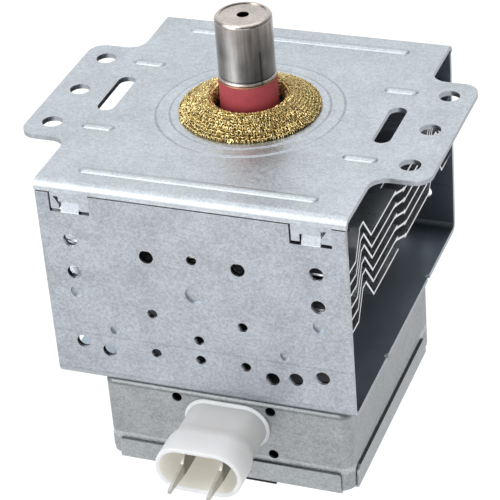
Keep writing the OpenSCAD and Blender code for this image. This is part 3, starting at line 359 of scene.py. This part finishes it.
for label, place in (("walls", WALL_OUT), ("floor", FLOOR_TOP), ("plate", PLATE_TOP)):
    print(label, "at", round(place / MM, 2), "mm")


# %% yoke shade group
def where(tree, *tests):
    mask = 1.0
    for value, test, limit in tests:
        mask = maths(tree, "MULTIPLY", mask, maths(tree, test, value, limit))
    return mask


def yoke_shade():
    inputs = {"Colour": rgb(0.6, 0.63, 0.67), "Inside": rgb(0.43, 0.505, 0.58)}
    tree, field = group("yoke_shade", inputs, TINT)
    place = axes(tree)
    across, height = maths(tree, "ABSOLUTE", place["X"]), place["Z"]
    depth = maths(tree, "ABSOLUTE", place["Y"])
    under_plate = (height, "LESS_THAN", PLATE_UNDER + HAIR)
    cut = where(tree, (depth, "LESS_THAN", CUT_FACE), (height, "GREATER_THAN", CLINCH_FOOT), under_plate)
    barrel = where(
        tree, (depth, "LESS_THAN", BARREL_FACE), (across, "LESS_THAN", HOLES_SIDE),
        (height, "GREATER_THAN", HOLES_LOW), (height, "LESS_THAN", CLINCH_FOOT),
    )
    kept = maths(tree, "MULTIPLY_ADD", cut, -CUT_LOSS, 1.0)
    kept = maths(tree, "MULTIPLY_ADD", barrel, -BARREL_LOSS, kept)
    off_wall = ranged(tree, depth, BY_WALL, OFF_WALL, low=WALL_LIGHT)
    left_end = ranged(tree, place["X"], LEFT_DEEP, LEFT_OPEN, DEEP_LIGHT, LEFT_LIGHT)
    right_end = ranged(tree, place["X"], RIGHT_DEEP, RIGHT_OPEN, low=DEEP_LIGHT)
    daylight = maths(tree, "MULTIPLY", off_wall, maths(tree, "MAXIMUM", left_end, right_end))
    over_floor = (height, "GREATER_THAN", FLOOR_SKIN)
    within = where(tree, (depth, "LESS_THAN", WALL_IN + HAIR), over_floor, under_plate)
    outside, inside = scaled(tree, field["Colour"], kept), scaled(tree, field["Inside"], daylight)
    return put_out(tree, Colour=mixed(tree, within, outside, inside))


YOKE_SHADE = yoke_shade()

# %% [markdown]
# ### Drawn grain
# Wire, strip and drawn caps carry fine lines along the way they were pulled. The lines are a noise texture
# whose coordinates are squeezed along one axis, so each material only says along which axis and how much.


# %% drawn grain group
def drawn_grain():
    inputs = {
        "Colour": rgb(0.6, 0.6, 0.6), "Dark": rgb(0.5, 0.5, 0.5), "Roughness": 0.3, "Spread": 0.15,
        "Along X": 1.0, "Along Y": 1.0, "Along Z": 1.0,
    }
    tree, field = group("drawn_grain", inputs, SURFACE)
    at = spot(tree)
    squeeze = add(tree, "CombineXYZ", {axis: field["Along " + axis] for axis in "XYZ"}).outputs["Vector"]
    along = add(tree, "VectorMath", {0: at, 1: squeeze}, operation="MULTIPLY").outputs["Vector"]
    lines = cloudy(tree, along, 1500.0, 4.0, 0.65)
    haze = cloudy(tree, at, 160.0, 2.0)
    level = ranged(tree, maths(tree, "ADD", lines, haze), 0.7, 1.3)
    swing = maths(tree, "SUBTRACT", level, 0.5)
    return put_out(
        tree,
        Colour=mixed(tree, level, field["Dark"], field["Colour"]),
        Roughness=maths(tree, "MULTIPLY_ADD", swing, field["Spread"], field["Roughness"]),
        Height=lines,
    )


GRAIN = drawn_grain()

# %% [markdown]
# ### Uneven skin
# Ceramic, ferrite, resin and moulded plastic have no grain, only a skin that is slightly patchy. One noise
# texture gives the patches, with its scale as an input, because the patches of plastic are larger than
# those of fired ceramic.


# %% uneven skin group
def uneven_skin():
    inputs = {
        "Colour": rgb(0.9, 0.9, 0.88), "Tint": rgb(0.8, 0.8, 0.76), "Scale": 300.0,
        "Roughness": 0.45, "Spread": 0.1,
    }
    tree, field = group("uneven_skin", inputs, SURFACE)
    patch = cloudy(tree, spot(tree), field["Scale"], 5.0, 0.6)
    level = ranged(tree, patch, 0.3, 0.7)
    return put_out(
        tree,
        Colour=mixed(tree, level, field["Tint"], field["Colour"]),
        Roughness=maths(tree, "MULTIPLY_ADD", level, field["Spread"], field["Roughness"]),
        Height=patch,
    )


SKIN = uneven_skin()

# %% [markdown]
# ### Lines and end shades
# Three small tints work on the colour of a finish. The first draws a level line at one height, dark or, with
# a
# negative strength, light: painted shade and painted highlights along bends, steps, ribs and rims, and a
# dark cut edge. The second draws an upright line on a round piece, at an angle about Z, such as a scratch or
# a band of painted shade down one side. The third is painted shade that darkens one end of a piece along Y,
# as at the roots of the terminals and on the connector's neck. Painting them by place keeps them sharp at
# any distance.


# %% tint groups
def dimmed(tree, colour, mask, strength):
    return scaled(tree, colour, maths(tree, "SUBTRACT", 1.0, maths(tree, "MULTIPLY", mask, strength)))


def level_line():
    inputs = {"Colour": rgb(0.6, 0.6, 0.6), "Height": 0.0, "Width": 0.4 * MM, "Strength": 0.1}
    tree, field = group("level_line", inputs, TINT)
    apart = maths(tree, "ABSOLUTE", maths(tree, "SUBTRACT", axes(tree)["Z"], field["Height"]))
    mask = ranged(tree, maths(tree, "DIVIDE", apart, field["Width"]), 1.0, 0.6)
    return put_out(tree, Colour=dimmed(tree, field["Colour"], mask, field["Strength"]))


def upright_line():
    inputs = {"Colour": rgb(0.6, 0.6, 0.6), "Angle": 0.0, "Width": 0.05, "Top": 0.1, "Strength": 0.5}
    tree, field = group("upright_line", inputs, TINT)
    place = axes(tree)
    angle = maths(tree, "ARCTAN2", place["Y"], place["X"])
    apart = maths(tree, "ABSOLUTE", maths(tree, "SUBTRACT", angle, field["Angle"]))
    mask = ranged(tree, maths(tree, "DIVIDE", apart, field["Width"]), 1.0, 0.4)
    mask = maths(tree, "MULTIPLY", mask, maths(tree, "LESS_THAN", place["Z"], field["Top"]))
    return put_out(tree, Colour=dimmed(tree, field["Colour"], mask, field["Strength"]))


def end_shade():
    inputs = {"Colour": rgb(0.9, 0.9, 0.9), "Near": 0.0, "Far": 0.01, "Low": 0.7}
    tree, field = group("end_shade", inputs, TINT)
    share = ranged(tree, axes(tree)["Y"], field["Near"], field["Far"], low=field["Low"])
    return put_out(tree, Colour=scaled(tree, field["Colour"], share))


LEVEL_LINE, UPRIGHT_LINE, END_SHADE = level_line(), upright_line(), end_shade()

# %% [markdown]
# ## Finishes
# Each finish is one Principled shader fed by one of the surface groups: colour and roughness straight from
# the group, or through tints one after the other, and its height through a Bump node. What is the same all
# over, such as the metal share, is set on the shader itself.

# %% one finish
RELIEF = 0.1 * MM
looks = {}


def finish(name, effect, values, metallic=0.0, bump=0.1, tints=(), shader=()):
    material = bpy.data.materials.new(name)
    material.use_nodes = True
    tree = material.node_tree
    surface = add(tree, "Group", values, node_tree=effect).outputs
    colour = surface["Colour"]
    for tint, fields in tints:
        colour = add(tree, "Group", {"Colour": colour, **fields}, node_tree=tint).outputs["Colour"]
    relief = add(tree, "Bump", {"Strength": bump, "Distance": RELIEF, "Height": surface["Height"]})
    fed = {
        "Base Color": colour, "Roughness": surface["Roughness"], "Normal": relief.outputs["Normal"],
        "Metallic": metallic, **dict(shader),
    }
    for label, value in fed.items():
        put(tree, tree.nodes["Principled BSDF"].inputs[label], value)
    print("finish:", name, "tints:", len(tints))
    return material


def line(height, width, strength):
    return LEVEL_LINE, {"Height": height, "Width": width * MM, "Strength": strength}


print("relief of every finish:", RELIEF / MM, "mm")

# %% [markdown]
# ### Zinc sheet
# The top plate, the yoke, the box and its cover are pressed from zinc-coated steel and differ in tone: the
# plate is the brightest and the box the dullest. One helper makes all four, so that they stay one family.
# Faint lines of painted shade dim the highlights on the plate's bend, the steps of its ring and its ribs,
# and along the yoke's crease and its lower fold. On the box, a line of painted light lifts the shade just
# above the cover, and a line of painted shade dims its rounded top edge. The cover's cut edge is dark,
# partly its own dull cut and partly painted shade.


# %% zinc finishes
def zinc(name, light, dark, roughness, spread, bump, lines):
    values = {"Colour": rgb(*light), "Dark": rgb(*dark), "Roughness": roughness, "Spread": spread}
    return finish(name, SPANGLE, values, metallic=1.0, bump=bump, tints=[(YOKE_SHADE, {})] + lines)


# Painted shade: these lines dim the highlights on the plate's bend, the steps of its ring and its ribs.
BEND = PLATE_TOP - 1.15 * MM
STEP_LOW, STEP_HIGH, RIB_TOP = PLATE_TOP + 0.1 * MM, PLATE_TOP + 0.3 * MM, PLATE_TOP + 0.57 * MM
looks["galvanised_plate"] = zinc(
    "zinc_plate", (0.67, 0.72, 0.77), (0.47, 0.505, 0.54), 0.41, 0.12, 0.2,
    [line(BEND, 1.2, 0.22), line(STEP_LOW, 0.09, 0.25), line(STEP_HIGH, 0.09, 0.25),
     line(RIB_TOP, 0.14, 0.15)],
)
# Painted shade: one line along the wall's crease and two along the lower fold, where the bend's shading and
# reflection fall.
YOKE_FOOT = yoke_low.z
CREASE_SHADE, FOLD_TOP, FOLD_LOW = YOKE_FOOT + 14.9 * MM, YOKE_FOOT + 2.9 * MM, YOKE_FOOT + 0.55 * MM
looks["galvanised_yoke"] = zinc(
    "zinc_yoke", (0.61, 0.65, 0.70), (0.395, 0.422, 0.463), 0.40, 0.12, 0.25,
    [line(CREASE_SHADE, 0.4, 0.10), line(FOLD_TOP, 0.4, 0.12), line(FOLD_LOW, 1.0, 0.12)],
)
# On the box, the negative line is painted light just above the cover and the other is painted shade on the
# rounded top edge. The cover's cut edge is dark, partly its own dull cut and partly painted shade.
COVER_EDGE, BOX_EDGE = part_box("filter_box_cover")[1].z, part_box("filter_box")[1].z
looks["galvanised_box"] = zinc(
    "zinc_box", (0.49, 0.512, 0.527), (0.31, 0.325, 0.335), 0.45, 0.1, 0.16,
    [line(COVER_EDGE + 0.75 * MM, 1.2, -0.35), line(BOX_EDGE - 0.45 * MM, 1.3, 0.4)],
)
looks["galvanised_cover"] = zinc(
    "zinc_cover", (0.52, 0.545, 0.56), (0.345, 0.365, 0.375), 0.42, 0.1, 0.16, [line(COVER_EDGE, 0.1, 0.75)],
)

# %% [markdown]
# ### Antenna cap
# The cap is a deep-drawn steel cup with its grain upright. Painted highlights brighten its rolled rim and
# its top edge, a line of painted shade lies above the rim, one scratch runs up its side and a wide band of
# painted shade darkens the side beyond it. All of these are tints, because the shape under them is a plain
# cup.


# %% cap finish
def drawn(name, light, dark, roughness, spread=0.15, bump=0.1, along=(), tints=()):
    values = {"Colour": rgb(*light), "Dark": rgb(*dark), "Roughness": roughness, "Spread": spread}
    return finish(name, GRAIN, {**values, **dict(along)}, metallic=1.0, bump=bump, tints=tints)


def upright(degrees, width, top, strength):
    fields = {"Angle": math.radians(degrees), "Width": width, "Top": top, "Strength": strength}
    return UPRIGHT_LINE, fields


cap_low, cap_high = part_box("antenna_cap")
# Painted highlights on the rim and the top edge, painted shade above the rim, one scratch, and a wide band
# of painted shade on the side.
RIM_HIGHLIGHT, RIM_SHADE = cap_low.z + 0.45 * MM, cap_low.z + 1.25 * MM
TOP_HIGHLIGHT, SCRATCH_TOP, SHADE_BAND_TOP = cap_high.z + 0.05 * MM, cap_high.z - 7.95 * MM, cap_high.z - 0.65 * MM
looks["cap_steel"] = drawn(
    "drawn_steel", (0.465, 0.423, 0.39), (0.28, 0.254, 0.235), 0.21, 0.10, 0.08, {"Along Z": 0.03},
    [line(RIM_HIGHLIGHT, 0.7, -0.5), line(RIM_SHADE, 0.3, 0.5), line(TOP_HIGHLIGHT, 0.6, -0.55),
     upright(-39.5, 0.06, SCRATCH_TOP, 0.55), upright(-55.0, 0.62, SHADE_BAND_TOP, 0.34)],
)

# %% [markdown]
# ### Fins, terminals and inner metals
# The fins are bright aluminium sheet and mirror most of what they face. The terminals are tinned strip,
# darker at the root, where the moulding shades them. The gasket's wire is bright brass with its grain in no
# one direction, because the wire turns all the time. Copper, iron and cathode metal lie inside and show only
# through gaps, so plain drawn grain is enough for them.

# %% other metals
TERMINAL_FREE, TERMINAL_SHADED, ROOT_SHADE = -66.2 * MM, -65.0 * MM, 0.5
terminal_root = (END_SHADE, {"Near": TERMINAL_SHADED, "Far": TERMINAL_FREE, "Low": ROOT_SHADE})
looks["tinned_metal"] = drawn(
    "tinned_strip", (0.68, 0.655, 0.61), (0.50, 0.48, 0.44), 0.44, bump=0.05, along={"Along Y": 0.08},
    tints=[terminal_root],
)
looks["fin_aluminium"] = drawn(
    "bright_fin", (0.86, 0.87, 0.89), (0.79, 0.80, 0.83), 0.28, 0.03, 0.01, {"Along X": 0.06},
)
looks["gasket_brass"] = drawn("brass_wire", (0.85, 0.69, 0.33), (0.62, 0.47, 0.19), 0.3, 0.1, 0.05)
UPRIGHT = {"Along Z": 0.1}
looks["copper"] = drawn("bare_copper", (0.72, 0.40, 0.26), (0.48, 0.25, 0.15), 0.35, along=UPRIGHT)
# The seal steel is near black: round the ceramic, this is painted shade that makes the gap read dark.
looks["seal_steel"] = drawn("seal_steel", (0.12, 0.115, 0.11), (0.07, 0.066, 0.062), 0.4, along=UPRIGHT)
looks["pole_iron"] = drawn("pole_iron", (0.42, 0.43, 0.45), (0.30, 0.31, 0.32), 0.4)
looks["cathode_metal"] = drawn("cathode_metal", (0.30, 0.30, 0.32), (0.20, 0.20, 0.21), 0.45)
looks["choke_copper"] = drawn("enamelled_wire", (0.60, 0.27, 0.12), (0.42, 0.17, 0.07), 0.25)

# %% [markdown]
# ### Ceramic, ferrite, resin and plastic
# These are the pieces without metal. The output ceramic is pink and matt, and the magnets are
# near black. The connector is moulded in a white plastic that lets light a little way in, so it gets
# subsurface light instead of a brighter white. Its neck is darkened towards the box by painted shade.


# %% skin finishes
def skinned(name, colour, tint, scale, roughness, spread=0.1, bump=0.1, tints=(), shader=()):
    values = {"Colour": rgb(*colour), "Tint": rgb(*tint), "Scale": scale}
    values.update({"Roughness": roughness, "Spread": spread})
    return finish(name, SKIN, values, bump=bump, tints=tints, shader=shader)


def glowing_through(weight, radius, reach):
    return {"Subsurface Weight": weight, "Subsurface Radius": radius, "Subsurface Scale": reach * MM}


looks["output_ceramic"] = skinned(
    "pink_ceramic", (0.49, 0.08, 0.095), (0.42, 0.066, 0.078), 420.0, 0.5, 0.12, 0.08,
    shader={"Specular IOR Level": 0.3},
)
looks["stem_ceramic"] = skinned(
    "white_ceramic", (0.80, 0.76, 0.70), (0.72, 0.68, 0.62), 420.0, 0.55, bump=0.06,
)
looks["ferrite"] = skinned("ferrite", (0.035, 0.037, 0.042), (0.022, 0.023, 0.027), 500.0, 0.5)
# The pad under the cover's front edge is near black: a real pad, whose black also serves as painted shade
# for the dark strip under that edge.
looks["pad_rubber"] = skinned("black_pad", (0.012,) * 3, (0.006,) * 3, 900.0, 0.75, bump=0.2)
looks["capacitor_resin"] = skinned("cast_resin", (0.05, 0.10, 0.24), (0.04, 0.08, 0.19), 300.0, 0.5)
# Painted shade darkens the neck towards the box.
NECK_SHADED, NECK_FREE, NECK_SHADE = -56.0 * MM, -59.5 * MM, 0.71
neck = (END_SHADE, {"Near": NECK_SHADED, "Far": NECK_FREE, "Low": NECK_SHADE})
looks["connector_plastic"] = skinned(
    "white_moulding", (0.95, 0.94, 0.93), (0.93, 0.915, 0.89), 150.0, 0.34, 0.06, 0.02, [neck],
    glowing_through(0.8, (1.0, 0.92, 0.8), 7.0),
)

# %% [markdown]
# ### Dressing the solids
# The record of the part names a material slot for each solid. The loop gives every solid the finish of its
# slot, so the looks stay in step with the record, and no mesh is touched.

# %% finishes on the solids
for part in frame["record"]["subparts"]:
    solid = nodes[part["node"]]
    solid.data.materials.clear()
    solid.data.materials.append(looks[part["material_slot"]])

# %% [markdown]
# ## Turned pieces
# The gasket's core and the connector both start as a profile that is swept round an axis. By hand that is
# one point, extruded corner by corner along the profile, and then Spin. The helper below does just that,
# and merges the seam and the poles.


# %% a profile and its spin
def take(piece):
    bpy.ops.object.select_all(action="DESELECT")
    piece.select_set(True)
    bpy.context.view_layer.objects.active = piece


def smooth(piece, degrees):
    take(piece)
    bpy.ops.object.shade_smooth_by_angle(angle=math.radians(degrees))


def turned(name, profile, centre, axis, steps):
    bpy.ops.object.select_all(action="DESELECT")
    bpy.ops.mesh.primitive_plane_add(size=MM, location=(0, 0, 0))
    piece = bpy.context.object
    piece.name = name
    piece.data.name = name
    bpy.ops.object.mode_set(mode="EDIT")
    bpy.ops.mesh.merge(type="CENTER")
    bpy.ops.transform.translate(value=profile[0])
    for before, after in zip(profile, profile[1:]):
        bpy.ops.mesh.extrude_vertices_move(TRANSFORM_OT_translate={"value": Vector(after) - Vector(before)})
    bpy.ops.mesh.select_all(action="SELECT")
    bpy.ops.mesh.spin(steps=steps, angle=2 * math.pi, center=centre, axis=axis)
    bpy.ops.mesh.select_all(action="SELECT")
    bpy.ops.mesh.remove_doubles(threshold=1e-6)
    bpy.ops.mesh.normals_make_consistent(inside=False)
    bpy.ops.object.mode_set(mode="OBJECT")
    print("turned:", name, len(piece.data.polygons), "faces")
    return piece


# %% [markdown]
# ## Gasket core
# The ring round the ceramic is a sock of fine brass wire, knitted and rolled up, that closes the gap to
# the waveguide. Between its loops one looks into shade, so a dark turned ring fills it from within: a core
# that stands in as painted shade. Its section is a round bead at the bore and a thin edge outside, joined by
# a straight flank that touches both rounds. The way the flank faces follows from the two radii.

# %% gasket outline
low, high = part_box("rf_gasket")
BORE, RIM, SEAT, TALL = 9.8, 19.2, low.z / MM, (high.z - low.z) / MM
BEAD, EDGE, ARC_STEPS = 1.3, 0.4, 8
bead_at, edge_at = (BORE + BEAD, TALL - BEAD), (RIM - EDGE, EDGE)
flank = Vector(edge_at) - Vector(bead_at)
facing_up = math.atan2(flank.y, flank.x) + math.acos((BEAD - EDGE) / flank.length)


def arc(centre, radius, start, end):
    for k in range(ARC_STEPS + 1):
        a = start + (end - start) * k / ARC_STEPS
        yield centre[0] + radius * math.cos(a), centre[1] + radius * math.sin(a)


def gasket_outline(inset):
    bore_side = [(BORE + inset, inset), (BORE + inset, bead_at[1] * 0.5)]
    bead = arc(bead_at, BEAD - inset, math.pi, facing_up)
    edge = arc(edge_at, EDGE - inset, facing_up, -math.pi / 2)
    return [*bore_side, *bead, *edge]


print("flank faces up by", round(math.degrees(facing_up), 1), "degrees, height", round(TALL, 2), "mm")

# %% dark core
CORE_INSET, FOOT_INSET, FOOT_RISE = 0.3, 0.2, 0.02
foot = [(RIM - FOOT_INSET, FOOT_RISE), (BORE + CORE_INSET, FOOT_RISE)]
core_line = [(r * MM, 0.0, (SEAT + z) * MM) for r, z in gasket_outline(CORE_INSET)[1:-1] + foot]
core = turned("gasket_core", core_line + [core_line[0]], (0, 0, 0), (0, 0, 1), 96)
smooth(core, 40)
# The core's near-black brass is painted shade, seen between the loops.
core.data.materials.append(drawn("shaded_brass", (0.10, 0.07, 0.03), (0.045, 0.03, 0.013), 0.55, 0.2, 0.3))
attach(core, "root")

# %% [markdown]
# ## Knitted wire
# A bumpy ring would look cast, so the wire itself is made: each course of the knitting is one endless wire
# that loops up and down round the ring, drawn as a closed curve, given a round section by its bevel and made
# a mesh. The helper finds the place and the outward direction at a distance along the section. Smooth noise
# shakes the loops out of order, as real knitted wire is. Blender seeds this noise by the clock, so it gets a
# seed of its own here, and every run knits the same ring.

# %% a walk along the section
WIRE_INSET = 0.16
knit_line = gasket_outline(WIRE_INSET)
walked = [0.0]
for a, b in zip(knit_line, knit_line[1:]):
    walked.append(walked[-1] + math.dist(a, b))


def on_section(distance):
    distance = min(max(distance, 0.0), walked[-1] - 1e-6)
    k = next(i for i in range(len(knit_line) - 1) if walked[i + 1] > distance)
    (r, z), (next_r, next_z) = knit_line[k], knit_line[k + 1]
    length = walked[k + 1] - walked[k]
    part = (distance - walked[k]) / length
    outward = (-(next_z - z) / length, (next_r - r) / length)
    return r + (next_r - r) * part, z + (next_z - z) * part, outward


print("way along the section:", round(walked[-1], 2), "mm")

# %% courses of loops
STITCHES, COURSES, POINTS = 84, 15, 9
WIRE_RADIUS, LOOP_REACH, LOOP_SWING, LOOP_LIFT, STAGGER = 0.15, 0.62, 0.17, 0.14, 1.2
SLACK, SLACK_LIFT, SLACK_TURN = 0.46, 0.12, 0.034
NOISE_SEED, NOISE_ROUND, NOISE_UP = 11, 14, 1.7
noise.seed_set(NOISE_SEED)


def loop_point(course, i):
    phase = 2 * math.pi * i / POINTS
    share = i / (STITCHES * POINTS) + LOOP_SWING * math.sin(2 * phase) / STITCHES
    angle = 2 * math.pi * share + STAGGER * course / STITCHES
    slack = noise.noise_vector(
        Vector((NOISE_ROUND * math.cos(angle), NOISE_ROUND * math.sin(angle), NOISE_UP * course))
    )
    middle = walked[-1] * (course + 0.5) / COURSES
    r, z, outward = on_section(middle + LOOP_REACH * math.cos(phase) + SLACK * slack.x)
    rise = LOOP_LIFT * math.cos(2 * phase) + SLACK_LIFT * slack.y
    r, z = r + outward[0] * rise, z + outward[1] * rise
    angle += SLACK_TURN * slack.z
    return (r * math.cos(angle) * MM, r * math.sin(angle) * MM, (SEAT + z) * MM, 1.0)


wire = bpy.data.curves.new("gasket_knit", "CURVE")
wire.dimensions = "3D"
wire.bevel_depth = WIRE_RADIUS * MM
wire.bevel_resolution = 0
for course in range(COURSES):
    spline = wire.splines.new("POLY")
    spline.points.add(STITCHES * POINTS - 1)
    spline.use_cyclic_u = True
    for i, point in enumerate(spline.points):
        point.co = loop_point(course, i)
print("courses:", len(wire.splines), "points in each:", STITCHES * POINTS)

# %% wire to mesh
knit = bpy.data.objects.new("gasket_knit", wire)
bpy.context.scene.collection.objects.link(knit)
take(knit)
bpy.ops.object.convert(target="MESH")
knit = bpy.context.object
smooth(knit, 80)
knit.data.materials.clear()
knit.data.materials.append(looks["gasket_brass"])
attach(knit, "root")
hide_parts("rf_gasket")
print("knitted wire:", len(knit.data.polygons), "faces")

# %% [markdown]
# ## Connector
# The connector is one moulding: a flange on the box, a neck, a sloped shoulder and a deep shroud with a
# stadium-shaped mouth. Turned as a round first, it becomes a stadium when its right half and its left
# half are moved apart, because the faces between them stretch into the flats. The spin starts half a step
# off the middle, so that no point lies on the line between the halves except at the poles. A bevel then
# gives every edge its moulded radius, which a plain solid lacks.

# %% connector section
low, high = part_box("connector_housing")
MID_X, MID_Z = (low.x + high.x) / 2 / MM, (low.z + high.z) / 2 / MM
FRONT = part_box("filter_box")[0].y / MM
FLANGE, FLANGE_END = 6.85, 0.8
NECK, NECK_END = 5.85, 10.1
SHROUD, SHOULDER_END, MOUTH = 6.8, 14.0, 22.0
SHROUD_WALL, SOCKET_FLOOR = 1.3, 9.0
SPIN_STEPS = 64
outer = [
    (0.0, 0.0), (FLANGE, 0.0), (FLANGE, FLANGE_END), (NECK, FLANGE_END), (NECK, NECK_END),
    (SHROUD, SHOULDER_END), (SHROUD, MOUTH),
]
socket_side = [
    (SHROUD - SHROUD_WALL, MOUTH), (SHROUD - SHROUD_WALL, SHOULDER_END), (NECK - SHROUD_WALL, NECK_END),
    (NECK - SHROUD_WALL, SOCKET_FLOOR), (0.0, SOCKET_FLOOR),
]
half_step = math.pi / SPIN_STEPS
shell_line = [
    ((MID_X + r * math.cos(half_step)) * MM, (FRONT - out) * MM, (MID_Z + r * math.sin(half_step)) * MM)
    for r, out in outer + socket_side
]
shell = turned("connector_shell", shell_line, (MID_X * MM, 0, MID_Z * MM), (0, 1, 0), SPIN_STEPS)

# %% from round to stadium
SPAN, EDGE_RADIUS = 10.2, 0.42
for side in (-1, 1):
    bpy.ops.object.mode_set(mode="EDIT")
    bpy.ops.mesh.select_all(action="DESELECT")
    bpy.ops.object.mode_set(mode="OBJECT")
    for v in shell.data.vertices:
        v.select = side * (v.co.x / MM - MID_X) > 0.01
    bpy.ops.object.mode_set(mode="EDIT")
    bpy.ops.transform.translate(value=(side * SPAN / 2 * MM, 0, 0))
    bpy.ops.object.mode_set(mode="OBJECT")
bpy.ops.object.mode_set(mode="EDIT")
bpy.ops.mesh.select_all(action="SELECT")
bpy.ops.mesh.normals_make_consistent(inside=False)
bpy.ops.object.mode_set(mode="OBJECT")
take(shell)
bevel = shell.modifiers.new("bevel", "BEVEL")
bevel.width, bevel.segments = EDGE_RADIUS * MM, 4
bevel.limit_method, bevel.angle_limit = "ANGLE", math.radians(12)
bpy.ops.object.modifier_apply(modifier=bevel.name)
smooth(shell, 50)
print("connector shell:", len(shell.data.polygons), "faces")

# %% [markdown]
# ## Connector finishes
# The same plastic is given three colours, lit and shaded copies of one material: white outside; warmer and
# creamy in the socket, where subsurface light that passes the thin walls comes back yellowish and the cream
# colour adds painted light to it; and a little greyer on the flange, as painted shade where it lies flat on
# metal. Three materials on one mesh keep it one moulding, and each face picks its own by its place.

# %% faces and their finishes
shell.data.materials.append(looks["connector_plastic"])
# In the socket, the cream colour is painted light on top of the subsurface light.
shell.data.materials.append(skinned(
    "cream_lit_socket", (1.0, 0.86, 0.67), (0.98, 0.82, 0.62), 150.0, 0.4, 0.06, 0.02,
    shader=glowing_through(1.0, (1.0, 0.9, 0.75), 14.0),
))
# On the flange, the greyer colour is painted shade.
shell.data.materials.append(skinned(
    "flange_shaded_moulding", (0.88, 0.88, 0.87), (0.84, 0.835, 0.82), 150.0, 0.36, 0.06, 0.02,
    shader=glowing_through(0.5, (1.0, 0.92, 0.8), 3.0),
))
OUTSIDE, SOCKET, FLANGE_FACE = 0, 1, 2
LIP, FLOOR_REACH, FLANGE_FROM = 21.6, 5.3, 6.0
for face in shell.data.polygons:
    x = face.center.x / MM - MID_X
    x -= max(-SPAN / 2, min(SPAN / 2, x))
    z = face.center.z / MM - MID_Z
    out, from_axis = FRONT - face.center.y / MM, math.hypot(x, z)
    inward = face.normal.x * x + face.normal.z * z < -0.5
    in_socket = (inward and out < LIP) or (out < SHOULDER_END and from_axis < FLOOR_REACH)
    on_flange = out < FLANGE_END + 0.1 and from_axis > FLANGE_FROM
    face.material_index = FLANGE_FACE if on_flange else SOCKET if in_socket else OUTSIDE
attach(shell, "root")
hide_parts("connector_housing")
print("socket faces:", sum(face.material_index == SOCKET for face in shell.data.polygons))
